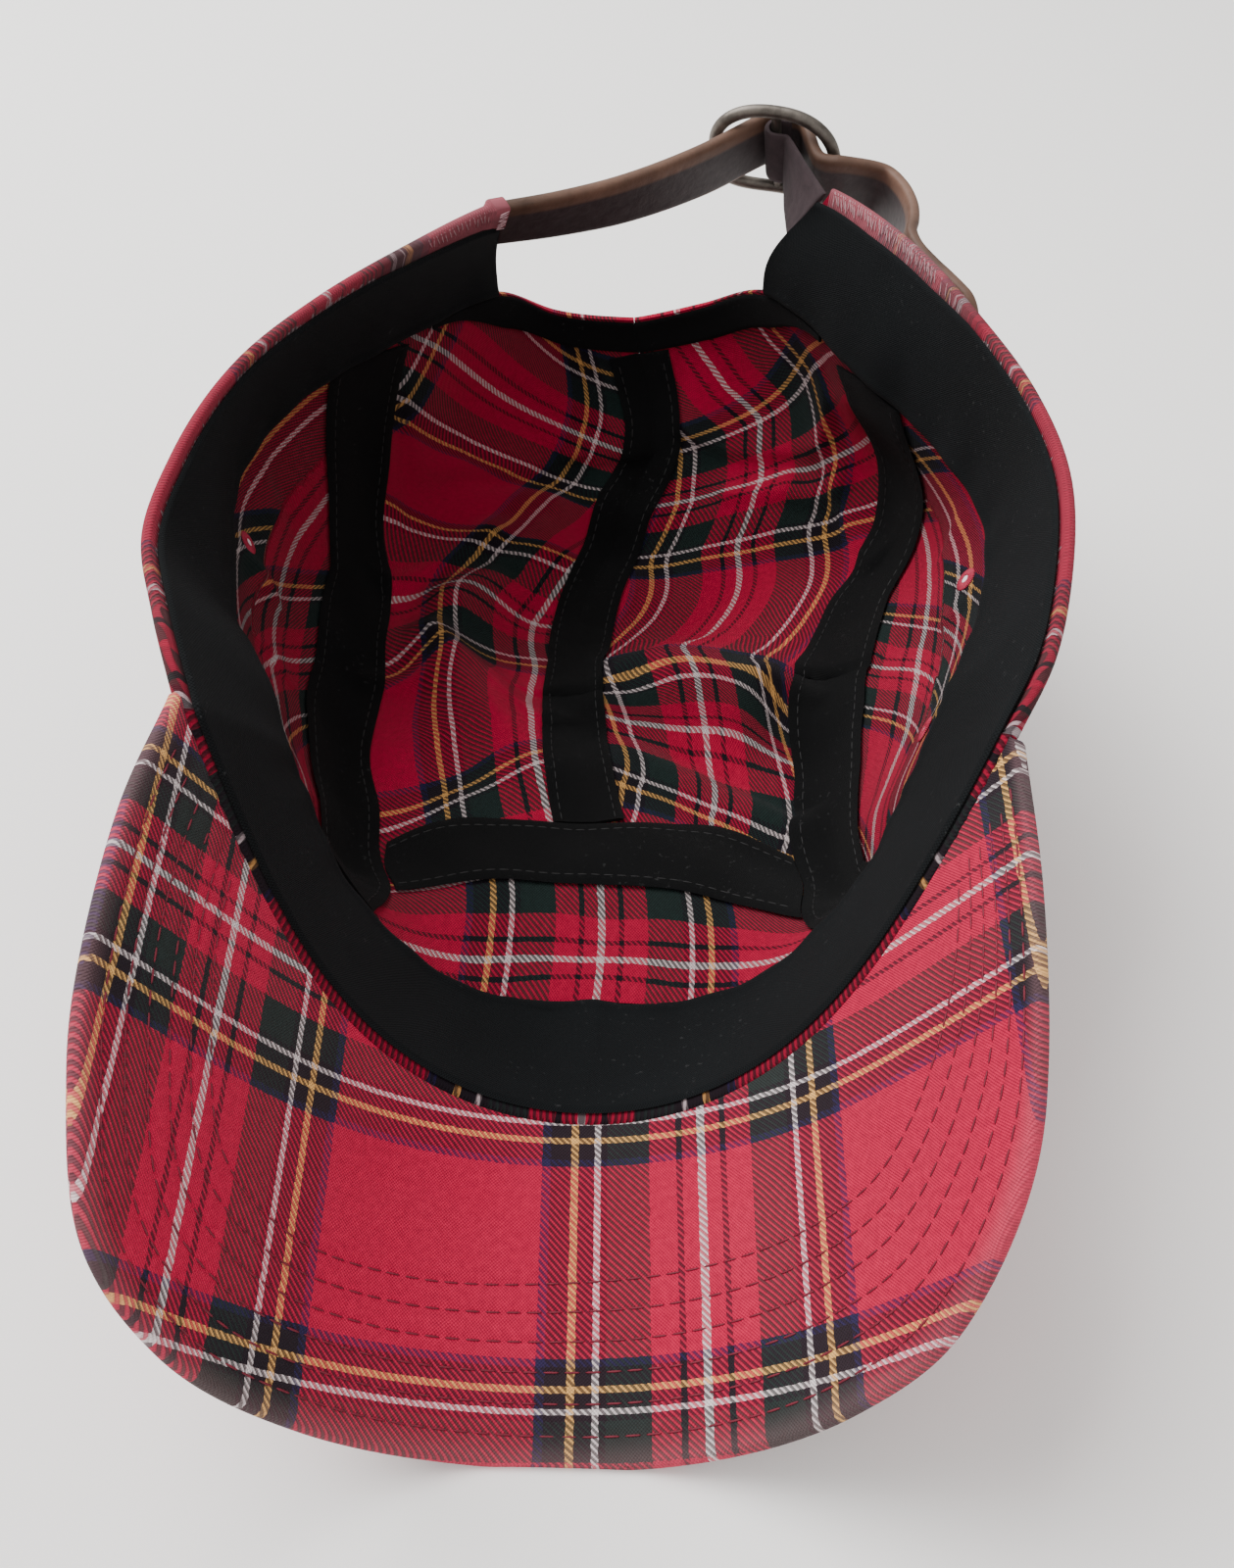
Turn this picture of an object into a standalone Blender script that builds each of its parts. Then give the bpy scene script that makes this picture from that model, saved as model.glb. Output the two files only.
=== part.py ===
"""A five-panel camp cap of plaid twill, lying upside down on its crown.

Metres, +Z up.  The peak points to -Y and the buckled strap is at +Y.  The crown is one
smooth bowl, cut along the seams into its panels.  Places on the bowl are given by a turn
(degrees from the front, plus to the right) and a rise (0 in the middle of the crown,
1 at the rim).
"""
import math

import bmesh
import bpy
import numpy as np
from mathutils import Matrix

# Cloth, leather and the gaps between layers
WALL = 0.0015            # crown cloth
PEAK_THICK = 0.0028      # board and both cloths of the peak
BAND_THICK = 0.0012      # sweatband
TAPE_THICK = 0.0008      # seam tapes
GAP = 0.0003             # between neighbours along a seam
LAY_GAP = 0.0012         # under what lies on the bowl

# Peak, cut flat and bent across to a nearly round trough
PEAK_HALF_WIDTH = 0.097
PEAK_REACH = 0.0555      # flat, from the join to the front edge
PEAK_BEND_RADIUS = 0.0467
PEAK_BEND_LOSS = 0.887   # how far the bend has eased at BEND_SPAN from the middle
PEAK_BEND_SKEW = -0.077
BEND_SPAN = 0.070
PEAK_TILT = math.radians(8.27)
PEAK_YAW = math.radians(2.08)
PEAK_ROLL = math.radians(0.73)
JOIN_HALF = 0.0935       # flat half width of the join
JOIN_SAG = 0.0405        # how far the ends of the join lie behind its middle
JOIN_HEIGHT = 0.0085     # of the middle of the join above the table
FRONT_DEPTH = 0.0667     # from the join to the front crown seam

# Rim behind the peak
RIM_HALF_WIDTH = 0.080
RIM_LENGTH = 0.150       # from the peak's corners to the strap
RIM_HEIGHT = 0.096
BAND_WIDTH = 0.031
BAND_DROP = 0.0012       # from the rim down to the sweatband

# Crown
CROWN_HALF_WIDTH = 0.062
CROWN_LENGTH = 0.107     # from the front seam to the foot of the back wall
CROWN_DEPTH = 0.040      # of the bowl below the sweatband

# Turns that part the panels
PEAK_TURN = 60.0
OPENING_TURN = 150.0
FRONT_ROWS = 7           # corners along the front panel's sides
SHARP_ANGLE = math.radians(40)

# Tapes, binding, eyelets
TAPE_WIDTH = 0.0150
SIDE_TAPE_WIDTH = 0.0170
FRONT_TAPE_WIDTH = 0.0170
BINDING_WIDTH = 0.0085
EYELET_RADIUS = 0.0030
EYELET_CORD = 0.0007
EYELET_GAP = 0.0005      # under the eyelets

# Strap, tab and buckle
STRAP_WIDTH = 0.0145
STRAP_THICK = 0.0025
TAB_THICK = 0.0014
BAR_RADIUS = 0.0011
RAIL_RADIUS = 0.0014
BUCKLE_HALF_LENGTH = 0.0140
BUCKLE_MARGIN = 0.0042   # from the strap's edge to the middle of the rail
FRAME_SQUARENESS = 2.8   # 2 for an ellipse, more for squarer corners
BUCKLE_BOW = 0.0025      # how far the ends of the frame bend in towards the head

# Peak outline in shares of PEAK_HALF_WIDTH and PEAK_REACH: place along, out, forward
PEAK_EDGE = (
    (0.00, -0.985, -0.77), (0.08, -1.020, -0.33), (0.15, -1.012, 0.10), (0.22, -0.975, 0.41),
    (0.29, -0.880, 0.75), (0.36, -0.700, 0.92), (0.44, -0.420, 0.99), (0.52, -0.100, 1.00),
    (0.60, 0.210, 0.985), (0.68, 0.490, 0.92), (0.75, 0.690, 0.81), (0.82, 0.850, 0.55),
    (0.89, 0.925, 0.22), (0.95, 0.965, -0.27), (1.00, 0.973, -0.69),
)

# Rim behind the peak, from its corners: turn, then out, back and up for each side in
# shares of RIM_HALF_WIDTH, RIM_LENGTH and RIM_HEIGHT
RIM = (
    (70, 0.91, 0.110, 0.828, 0.90, 0.110, 0.818),
    (80, 0.99, 0.230, 0.854, 0.96, 0.240, 0.844),
    (90, 0.99, 0.365, 0.880, 0.99, 0.375, 0.870),
    (105, 0.92, 0.535, 0.917, 0.945, 0.546, 0.907),
    (120, 0.775, 0.671, 0.948, 0.820, 0.715, 0.948),
    (135, 0.600, 0.787, 0.974, 0.675, 0.863, 0.984),
    (150, 0.400, 0.912, 0.990, 0.495, 0.988, 1.000),
    (180, 0.000, 0.985, 1.010, 0.000, 0.985, 1.010),
)

# From the rim to the sweatband's lower edge, and at the back to the arch, in shares of
# BAND_WIDTH: turn, then inward, backward and down on the left and on the right
BAND_LEAN = (
    (0, 0.00, 0.98, 0.21, 0.00, 0.98, 0.21), (20, 0.00, 0.93, 0.40, 0.00, 0.93, 0.40),
    (30, 0.00, 0.92, 0.48, 0.00, 0.92, 0.48), (40, 0.00, 0.89, 0.52, 0.00, 0.89, 0.52),
    (50, 0.08, 0.84, 0.66, 0.08, 0.84, 0.66), (60, 0.22, 0.68, 0.92, 0.22, 0.68, 0.92),
    (70, 0.29, 0.50, 0.87, 0.29, 0.50, 0.87), (80, 0.22, 0.36, 0.93, 0.28, 0.34, 0.93),
    (90, 0.04, 0.30, 0.97, 0.20, 0.24, 0.97), (105, -0.25, 0.26, 0.93, 0.06, 0.18, 0.98),
    (120, -0.33, 0.34, 0.88, 0.06, 0.12, 0.99), (135, -0.29, 0.40, 0.88, 0.22, 0.06, 0.97),
    (150, -0.15, 0.47, 0.87, 0.34, 0.26, 0.91), (165, -0.12, 0.55, 1.20, 0.16, 0.50, 1.20),
    (180, 0.00, 0.58, 1.34, 0.00, 0.58, 1.34),
)

# Rings of the bowl below the sweatband: turn, out to the left and right in shares of
# CROWN_HALF_WIDTH, back from the front seam in shares of CROWN_LENGTH, up in shares of
# CROWN_DEPTH
MID_RING = (
    (0, 0.00, 0.00, -0.165, 0.05), (20, 0.42, 0.41, -0.160, 0.10),
    (40, 0.81, 0.79, -0.175, 0.38), (60, 0.95, 0.89, -0.045, 0.70),
    (90, 1.21, 1.06, 0.320, 0.84), (115, 1.20, 1.10, 0.660, 0.90),
    (135, 1.00, 0.98, 0.900, 0.95), (160, 0.44, 0.44, 1.120, 0.80), (180, 0.0, 0.0, 1.150, 0.66),
)
FOOT_RING = (
    (0, 0.00, 0.00, 0.005, 0.085), (20, 0.39, 0.37, -0.010, 0.10),
    (40, 0.76, 0.74, -0.075, 0.16), (60, 0.91, 0.79, 0.095, 0.22),
    (90, 1.00, 0.81, 0.355, 0.33), (115, 1.05, 0.92, 0.655, 0.42),
    (135, 0.94, 0.90, 0.850, 0.44), (160, 0.40, 0.40, 0.960, 0.30), (180, 0.0, 0.0, 0.990, 0.20),
)
FLOOR_RING = (
    (0, 0.00, 0.00, 0.300, 0.03), (40, 0.40, 0.38, 0.280, 0.04), (90, 0.52, 0.44, 0.540, 0.09),
    (135, 0.46, 0.44, 0.740, 0.08), (180, 0.0, 0.0, 0.800, 0.05),
)
CROWN_MIDDLE = (0.0, 0.560, 0.03)
RING_RISES = (0.0, 0.25, 0.45, 0.62, 0.80, 1.0)

# Folds of the crown cloth: ends (out, back) in shares of CROWN_HALF_WIDTH and
# CROWN_LENGTH, height in shares of CROWN_DEPTH, and half width in shares of CROWN_LENGTH
FOLDS = (
    # x0, y0, x1, y1, height, half width
    (-0.75, 0.54, -0.26, 0.24, 0.32, 0.085),
    (-0.38, 0.93, -0.70, 0.70, 0.34, 0.080),
    (-0.02, 0.47, 0.52, 0.44, 0.40, 0.090),
    (0.52, 0.38, 0.70, 0.34, 0.22, 0.080),
    (0.02, 0.30, 0.62, 0.08, 0.14, 0.060),
    (-0.10, 1.02, 0.55, 1.00, 0.20, 0.050),
    (-0.70, 0.97, -0.15, 1.03, 0.20, 0.050),
)

FOLD_CALM = 0.70         # how much flatter the folds are along a seam
CALM_REACH = 0.16        # half width of the calm strip on the disc

# Sideways drift of the crown's middle: place on the disc, plus to the back, and the
# drift in shares of CROWN_HALF_WIDTH
DRIFT = (
    (-1.0, 0.00), (-0.45, -0.05), (-0.25, -0.165), (0.00, -0.20), (0.28, -0.18),
    (0.48, -0.08), (0.62, 0.03), (0.80, -0.06), (1.00, 0.00),
)
DRIFT_REACH = 0.75       # in shares of CROWN_HALF_WIDTH

# Side seam on the bowl, from the peak round to the back of the rim: place, turn, rise
SIDE_SEAM = (
    (0.00, 35, 1.00), (0.12, 38, 0.78), (0.25, 42, 0.52), (0.32, 50, 0.470), (0.50, 78, 0.450),
    (0.62, 100, 0.435), (0.72, 119, 0.455), (0.80, 128, 0.560), (0.90, 132, 0.80),
    (1.00, 134, 1.00),
)
SEAM_CORNER = 0.25       # place where the front seam meets the side seam
SEAM_AT_BAND = 0.90      # place where the side seam goes under the sweatband
# Front seam on the bowl, from its middle to the side seam: turn, rise
FRONT_SEAM = ((0, 0.450), (20, 0.450), (33, 0.465), (42, 0.520))

# Eyelets in the side panels: turn, rise
EYELETS = ((-98, 0.72), (-70, 0.72), (70, 0.72), (98, 0.72))

# Places on the side seam where its tape begins and ends
TAPE_ENDS = (0.12, 0.90)

# Strap between the rim and the buckle: share of the way, bow outward in shares of
# STRAP_WIDTH
STRAP_BOW = ((0.25, -0.20), (0.50, -0.30), (0.78, -0.22))
# Place of the bar's top from the middle between the strap's ends, in shares of
# RIM_HALF_WIDTH, and the ways along the buckle and down its bar
BAR_PLACE = (0.297, 0.325, 0.077)
BUCKLE_WAY = (0.97, -0.24, -0.02)
BUCKLE_DOWN = (0.0, 0.45, -0.89)
# Free end past the buckle, outside the rim: turn, then out and down in shares of
# STRAP_WIDTH
FREE_END = (
    (149.5, 1.36, 0.02), (146.7, 1.27, 0.08), (143.2, 1.05, 0.14), (140.8, 0.84, 0.18),
    (138.8, 0.62, 0.20), (136.3, 0.53, 0.24), (133.0, 0.52, 0.28), (129.3, 0.54, 0.30),
    (126.1, 0.56, 0.32), (123.2, 0.55, 0.34),
)
# Strap through the buckle: along from the bar in shares of BUCKLE_HALF_LENGTH, and the
# share of the way from under the rails to over the bar
STRAP_WEAVE = (
    (-0.36, 0.72), (-0.14, 0.98), (0.10, 1.0), (0.33, 0.98), (0.80, 0.03), (1.00, -0.03),
    (1.14, 0.0),
)
TAB_HOLD = 0.20          # share of BUCKLE_HALF_LENGTH where the tab closes behind the bar
SEAT_GAP = 0.0009        # from the ends of the rim to the strap and the tab


def smooth(rows, at):
    """Values of the smooth curve through the rows, whose first column is the place."""
    rows = np.asarray(rows, float)
    place = rows[:, 0]
    value = rows[:, 1:]
    slope = np.gradient(value, place, axis=0)
    at = np.clip(np.asarray(at, float), place[0], place[-1])
    i = np.clip(np.searchsorted(place, at, side="right") - 1, 0, len(place) - 2)
    step = (place[i + 1] - place[i])[..., None]
    t = ((at - place[i]) / (place[i + 1] - place[i]))[..., None]
    return ((1 + 2 * t) * (1 - t) ** 2 * value[i] + t * (1 - t) ** 2 * step * slope[i]
            + t ** 2 * (3 - 2 * t) * value[i + 1] + t ** 2 * (t - 1) * step * slope[i + 1])


def unit(vectors):
    """The vectors at length one."""
    return vectors / np.linalg.norm(vectors, axis=-1, keepdims=True)


def bend_profile():
    """The peak's section: places across the flat cloth, and their x and z once bent."""
    half = np.linspace(0.0, 1.1 * PEAK_HALF_WIDTH, 160)
    step = half[1] - half[0]
    sides = []
    for side in (-1, 1):
        ease = half / BEND_SPAN
        curve = (1 + PEAK_BEND_SKEW * side * ease - PEAK_BEND_LOSS * ease ** 2) / PEAK_BEND_RADIUS
        curve = np.maximum(curve, 0.0)
        angle = np.concatenate([[0.0], np.cumsum((curve[1:] + curve[:-1]) * step / 2)])
        x = np.concatenate([[0.0], np.cumsum((np.cos(angle[1:]) + np.cos(angle[:-1])) * step / 2)])
        z = np.concatenate([[0.0], np.cumsum((np.sin(angle[1:]) + np.sin(angle[:-1])) * step / 2)])
        sides.append((side * half, side * x, z))
    left, right = sides
    return [np.concatenate([a[:0:-1], b]) for a, b in zip(left, right)]


PROFILE = bend_profile()


def on_peak(across, forward):
    """Point on the upper side of the peak from its place on the flat pattern."""
    x = np.interp(across, PROFILE[0], PROFILE[1])
    z = np.interp(across, PROFILE[0], PROFILE[2])
    x, z = (math.cos(PEAK_ROLL) * x - math.sin(PEAK_ROLL) * z,
            math.sin(PEAK_ROLL) * x + math.cos(PEAK_ROLL) * z)
    y, z = (-math.cos(PEAK_TILT) * forward - math.sin(PEAK_TILT) * z,
            math.cos(PEAK_TILT) * z - math.sin(PEAK_TILT) * forward)
    x, y = (math.cos(PEAK_YAW) * x - math.sin(PEAK_YAW) * y,
            math.sin(PEAK_YAW) * x + math.cos(PEAK_YAW) * y)
    return np.stack([x, y - FRONT_DEPTH, z + JOIN_HEIGHT], -1)


def join_flat(turn):
    """Flat place of the join between peak and rim at a turn."""
    across = JOIN_HALF * np.asarray(turn, float) / PEAK_TURN
    return across, -JOIN_SAG * (across / JOIN_HALF) ** 2


def rim(turn):
    """Point on the rim."""
    turn = np.asarray(turn, float)
    side = np.where(turn < 0, -1.0, 1.0)
    out = np.empty(turn.shape + (3,))
    corners = on_peak(*join_flat(np.array([-PEAK_TURN, PEAK_TURN])))
    start = corners[:, 1].mean()
    for sign, first, corner in ((-1, 1, corners[0]), (1, 4, corners[1])):
        rows = [(PEAK_TURN, *corner)]
        for row in RIM:
            share = row[first:first + 3]
            rows.append((row[0], sign * share[0] * RIM_HALF_WIDTH,
                         start + share[1] * RIM_LENGTH, share[2] * RIM_HEIGHT))
        here = side == sign
        out[here] = smooth(rows, np.abs(turn[here]))
    front = np.abs(turn) < PEAK_TURN
    out[front] = on_peak(*join_flat(turn[front]))
    return out


def ring(table, turn):
    """Point on a ring of the bowl."""
    rows = smooth(table, np.abs(turn))
    out = np.where(turn < 0, -rows[..., 0], rows[..., 1]) * CROWN_HALF_WIDTH
    return np.stack([out, rows[..., 2] * CROWN_LENGTH, rows[..., 3] * CROWN_DEPTH], -1)


def fold_height(x, y):
    """How far the folds lift the crown cloth."""
    lift = np.zeros_like(x)
    for x0, y0, x1, y1, height, half in FOLDS:
        start = np.array([x0 * CROWN_HALF_WIDTH, y0 * CROWN_LENGTH])
        run = np.array([x1 * CROWN_HALF_WIDTH, y1 * CROWN_LENGTH]) - start
        along = np.clip(((x - start[0]) * run[0] + (y - start[1]) * run[1]) / (run @ run), 0, 1)
        gap = np.hypot(x - start[0] - along * run[0], y - start[1] - along * run[1])
        lift += height * CROWN_DEPTH * np.exp(-(gap / (half * CROWN_LENGTH)) ** 2)
    return lift


def on_bowl(turn, rise):
    """Point on the inside of the crown, from a turn and a rise."""
    turn, rise = np.broadcast_arrays(np.asarray(turn, float), np.asarray(rise, float))
    side = np.where(turn < 0, -1.0, 1.0)
    top = rim(turn)
    lean = smooth(BAND_LEAN, np.abs(turn)) * BAND_WIDTH
    lean = np.where(side[..., None] < 0, lean[..., :3], lean[..., 3:])
    band = top + lean * np.stack([-side, np.ones_like(side), -np.ones_like(side)], -1)
    middle = np.array([CROWN_MIDDLE[0] * CROWN_HALF_WIDTH, CROWN_MIDDLE[1] * CROWN_LENGTH,
                       CROWN_MIDDLE[2] * CROWN_DEPTH])
    rings = np.stack([np.broadcast_to(middle, top.shape), ring(FLOOR_RING, turn),
                      ring(FOOT_RING, turn), ring(MID_RING, turn), band, top])
    rises = np.array(RING_RISES)
    slope = np.gradient(rings, rises, axis=0)
    i = np.clip(np.searchsorted(rises, rise, side="right") - 1, 0, len(rises) - 2)
    step = (rises[i + 1] - rises[i])[..., None]
    t = ((rise - rises[i]) / (rises[i + 1] - rises[i]))[..., None]

    def pick(values, index):
        return np.take_along_axis(values, index[None, ..., None], axis=0)[0]

    point = ((1 + 2 * t) * (1 - t) ** 2 * pick(rings, i)
             + t * (1 - t) ** 2 * step * pick(slope, i)
             + t ** 2 * (3 - 2 * t) * pick(rings, i + 1)
             + t ** 2 * (t - 1) * step * pick(slope, i + 1))
    xi, eta = disc(turn, rise)
    soft = np.clip((RING_RISES[4] - rise) / (RING_RISES[4] - RING_RISES[2]), 0, 1)
    soft = soft * soft * (3 - 2 * soft)
    calm = np.exp(-(xi / CALM_REACH) ** 2) + np.exp(-((rise - RING_RISES[2]) / CALM_REACH) ** 2)
    soft = soft * (1 - FOLD_CALM * np.clip(calm, 0, 1))
    reach = np.exp(-(point[..., 0] / (DRIFT_REACH * CROWN_HALF_WIDTH)) ** 2)
    reach = reach * np.clip((1 - rise) / (1 - RING_RISES[4]), 0, 1)
    point[..., 0] += smooth(DRIFT, eta)[..., 0] * CROWN_HALF_WIDTH * reach
    point[..., 2] += soft * fold_height(point[..., 0], point[..., 1])
    point[..., 2] = np.maximum(point[..., 2], WALL)
    return point


def polar(xi, eta):
    """Turn and rise of a place on the disc that the bowl is drawn on."""
    return np.degrees(np.arctan2(xi, -eta)), np.hypot(xi, eta)


def disc(turn, rise):
    """Place on the disc of a turn and a rise."""
    angle = np.radians(turn)
    return np.sin(angle) * rise, -np.cos(angle) * rise


PROBE = 1e-3             # step on the disc for slopes
STEPS = 6                # steps in which a real distance is walked on the bowl


def slopes(xi, eta):
    """The bowl's slopes along both directions of the disc, kept inside the rim."""
    turn, rise = polar(xi, eta)
    rise = np.minimum(rise, 1.0 - 2 * PROBE)
    xi, eta = disc(turn, rise)
    a = (on_bowl(*polar(xi + PROBE, eta)) - on_bowl(*polar(xi - PROBE, eta))) / (2 * PROBE)
    b = (on_bowl(*polar(xi, eta + PROBE)) - on_bowl(*polar(xi, eta - PROBE))) / (2 * PROBE)
    return a, b


def peak_normal(across, forward):
    """Direction out of the lower side of the peak."""
    step = 5e-4
    a = on_peak(across + step, forward) - on_peak(across - step, forward)
    b = on_peak(across, forward + step) - on_peak(across, forward - step)
    normal = unit(np.cross(b, a))
    return np.where(normal[..., 2:] > 0.2, -normal, normal)


def bowl_normal(xi, eta):
    """Direction out of the crown, shared with the peak along the join."""
    a, b = slopes(xi, eta)
    normal = unit(np.cross(b, a))
    turn, rise = polar(xi, eta)
    shared = (rise > 0.999) & (np.abs(turn) <= PEAK_TURN)
    if np.any(shared):
        other = peak_normal(*join_flat(turn[shared]))
        flip = np.sign((normal[shared] * other).sum(-1, keepdims=True))
        normal[shared] = unit(normal[shared] + flip * other)
    return normal


def shifted(xi, eta, along, distance):
    """Disc places moved sideways in the bowl, across the way given by `along`."""
    for _ in range(STEPS):
        a, b = slopes(xi, eta)
        ahead = unit(a * along[0][..., None] + b * along[1][..., None])
        normal = unit(np.cross(b, a))
        aside = np.cross(normal, ahead) * np.asarray(distance)[..., None] / STEPS
        aa = (a * a).sum(-1)
        ab = (a * b).sum(-1)
        bb = (b * b).sum(-1)
        p = (a * aside).sum(-1)
        q = (b * aside).sum(-1)
        size = aa * bb - ab * ab
        xi = xi + (bb * p - ab * q) / size
        eta = eta + (aa * q - ab * p) / size
    return xi, eta


def material(name, colour, roughness, metallic=0.0):
    """A plain finish."""
    made = bpy.data.materials.new(name)
    made.use_nodes = True
    shader = made.node_tree.nodes["Principled BSDF"]
    shader.inputs["Base Color"].default_value = (*colour, 1.0)
    shader.inputs["Roughness"].default_value = roughness
    shader.inputs["Metallic"].default_value = metallic
    return made


def solid(name, points, faces, finish):
    """Closed body with its faces turned outward, shaded smooth between sharp edges."""
    mesh = bpy.data.meshes.new(name)
    mesh.from_pydata([tuple(p) for p in points], [], faces)
    shape = bmesh.new()
    shape.from_mesh(mesh)
    bmesh.ops.recalc_face_normals(shape, faces=shape.faces)
    shape.to_mesh(mesh)
    shape.free()
    mesh.shade_smooth()
    mesh.set_sharp_from_angle(angle=SHARP_ANGLE)
    mesh.materials.append(finish)
    made = bpy.data.objects.new(name, mesh)
    bpy.context.collection.objects.link(made)
    return made


def sheet(name, upper, lower, faces, finish):
    """Closed solid between two layers of points that share their faces."""
    count = len(upper)
    edges = {}
    for face in faces:
        for a, b in zip(face, face[1:] + face[:1]):
            edges[(a, b)] = True
    border = [(a, b) for a, b in edges if (b, a) not in edges]
    skin = [tuple(face) for face in faces]
    skin += [tuple(i + count for i in reversed(face)) for face in faces]
    skin += [(b, a, a + count, b + count) for a, b in border]
    return solid(name, np.vstack([upper, lower]), skin, finish)


def grid_faces(rows, columns):
    """Quads of a grid of points held row by row."""
    faces = []
    for r in range(rows - 1):
        for c in range(columns - 1):
            i = r * columns + c
            faces.append([i, i + 1, i + columns + 1, i + columns])
    return faces


def layer(name, xi, eta, low, high, finish, faces=None):
    """Sheet on the bowl between two distances out from the crown's inner face."""
    shape = xi.shape
    point = on_bowl(*polar(xi, eta)).reshape(-1, 3)
    normal = bowl_normal(xi, eta).reshape(-1, 3)
    inside = point + low * normal
    outside = point + high * normal
    outside[:, 2] = np.maximum(outside[:, 2], 0.0)
    if faces is None:
        faces = grid_faces(*shape)
    return sheet(name, inside, outside, faces, finish)


def seam_path(places):
    """Disc places along the right side seam."""
    row = smooth(SIDE_SEAM, places)
    return disc(row[..., 0], row[..., 1])


def direction(xi, eta):
    """Way along a line of disc places."""
    return np.gradient(xi), np.gradient(eta)


def seam_nodes():
    """Turn and rise of the corners that the panels share along a side seam."""
    places = np.concatenate([
        np.linspace(0.0, SEAM_CORNER, FRONT_ROWS)[:-1],
        np.linspace(SEAM_CORNER, 0.77, 16)[:-1],
        np.linspace(0.77, SEAM_AT_BAND, 5)[:-1],
        np.linspace(SEAM_AT_BAND, 1.0, 4)])
    row = smooth(SIDE_SEAM, places)
    return row[:, 0], row[:, 1]


def trim(turn, rise, inset):
    """Rise brought in by a real distance along the bowl."""
    for _ in range(STEPS):
        near = on_bowl(turn, rise) - on_bowl(turn, rise - PROBE)
        rise = rise - inset / STEPS * PROBE / np.linalg.norm(near, axis=-1)
    return rise


def beside_seam(turn, rise, inset):
    """Turn and rise of places moved off the right side seam, plus toward the rim."""
    xi, eta = disc(turn, rise)
    return polar(*shifted(xi, eta, direction(xi, eta), np.full(len(xi), inset)))


def arch_turns():
    """Turns of the corners along half of the arch."""
    return np.linspace(OPENING_TURN, 180, 10)


def crown_half(name, side, finish):
    """Half of the crown, from the centre seam out to the side seam, rim and arch."""
    seam_turn, seam_rise = beside_seam(*seam_nodes(), -GAP / 2)
    first = FRONT_ROWS - 1
    ear_start = len(seam_turn) - 4
    front_turn = np.linspace(0, seam_turn[first], 10)[:-1]
    front_rise = trim(front_turn, smooth(FRONT_SEAM, front_turn)[:, 0], GAP / 2)
    rear_turn = np.linspace(seam_turn[-1], OPENING_TURN, 4)[1:]
    arch_turn = arch_turns()[1:]
    arch_rise = np.full(len(rear_turn) + len(arch_turn), RING_RISES[4])
    turns = np.concatenate([front_turn, seam_turn[first:], rear_turn, arch_turn])
    edge = np.concatenate([front_rise, seam_rise[first:], arch_rise])
    ear = np.arange(len(front_turn) + ear_start - first, len(turns) - len(arch_turn))
    top = np.concatenate([seam_rise[ear_start:], np.ones(len(rear_turn))])
    base = np.minimum(edge, RING_RISES[4])
    base[ear[0]] = edge[ear[0]]
    ring_count = 10
    share = np.linspace(0, 1, ring_count + 1)[1:, None]
    turn = np.broadcast_to(turns, (ring_count, len(turns)))
    rise = share * base
    columns = len(turns)
    points = [(0.0, 1e-6)] + list(zip(turn.ravel(), rise.ravel()))
    faces = [[i + 1 for i in face] for face in grid_faces(ring_count, columns)]
    faces += [[0, i + 2, i + 1] for i in range(columns - 1)]
    below = [1 + (ring_count - 1) * columns + i for i in ear]
    ear_count = 3
    for k in range(1, ear_count + 1):
        row = [below[0]]
        for j, i in enumerate(ear[1:], 1):
            row.append(len(points))
            points.append((turns[i], base[i] + (top[j] - base[i]) * k / ear_count))
        for j in range(len(ear) - 1):
            face = [below[j], below[j + 1], row[j + 1], row[j]]
            faces.append(face[:3] if face[0] == face[3] else face)
        below = row
    where = np.array(points)
    xi, eta = disc(side * where[:, 0], where[:, 1])
    a, _ = slopes(np.zeros_like(eta), eta)
    keep = side * GAP / 2 / np.linalg.norm(a, axis=-1)
    xi = np.maximum(xi, keep) if side > 0 else np.minimum(xi, keep)
    return layer(name, xi, eta, 0.0, WALL, finish, faces)


def front_panel(finish):
    """Low panel between the peak and the front seam."""
    columns = 22
    turn, rise = beside_seam(*seam_nodes(), -GAP / 2)
    side_turn = turn[:FRONT_ROWS, None]
    side_rise = rise[:FRONT_ROWS, None]
    share = np.linspace(-1, 1, columns)[None, :]
    turn = share * side_turn
    inner = smooth(FRONT_SEAM, np.abs(turn[-1]))[:, 0]
    inner = 2 * inner - trim(turn[-1], inner, GAP / 2)
    outer = trim(turn[0], np.ones(columns), GAP / 2)
    depth = (side_rise[0] - side_rise) / (side_rise[0] - side_rise[-1])
    return layer("front_panel", *disc(turn, outer + depth * (inner - outer)), 0.0, WALL, finish)


def side_panel(name, side, finish):
    """Curved panel between the rim and a side seam."""
    rows = 9
    turn, rise = seam_nodes()
    place = (turn - turn[0]) / (turn[-1] - turn[0])
    ends = slice(1, -1)
    rim_turn = (turn[0] + (turn[-1] - turn[0]) * place)[ends]
    rim_turn[0] = turn[0] + 0.8
    rim_turn[-1] = turn[-1] - 0.6
    seam_turn, seam_rise = beside_seam(turn, rise, GAP / 2)
    seam_turn = seam_turn[ends]
    seam_rise = seam_rise[ends]
    by_peak = np.where(rim_turn < PEAK_TURN, GAP / 2, 0.0)
    rim_rise = trim(rim_turn, np.ones(len(rim_turn)), by_peak)
    across = np.linspace(0, 1, rows)[:, None] ** 0.75
    turn = rim_turn + across * (seam_turn - rim_turn)
    rise = rim_rise + across * (seam_rise - rim_rise)
    return layer(name, *disc(side * turn, rise), 0.0, WALL, finish)


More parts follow.
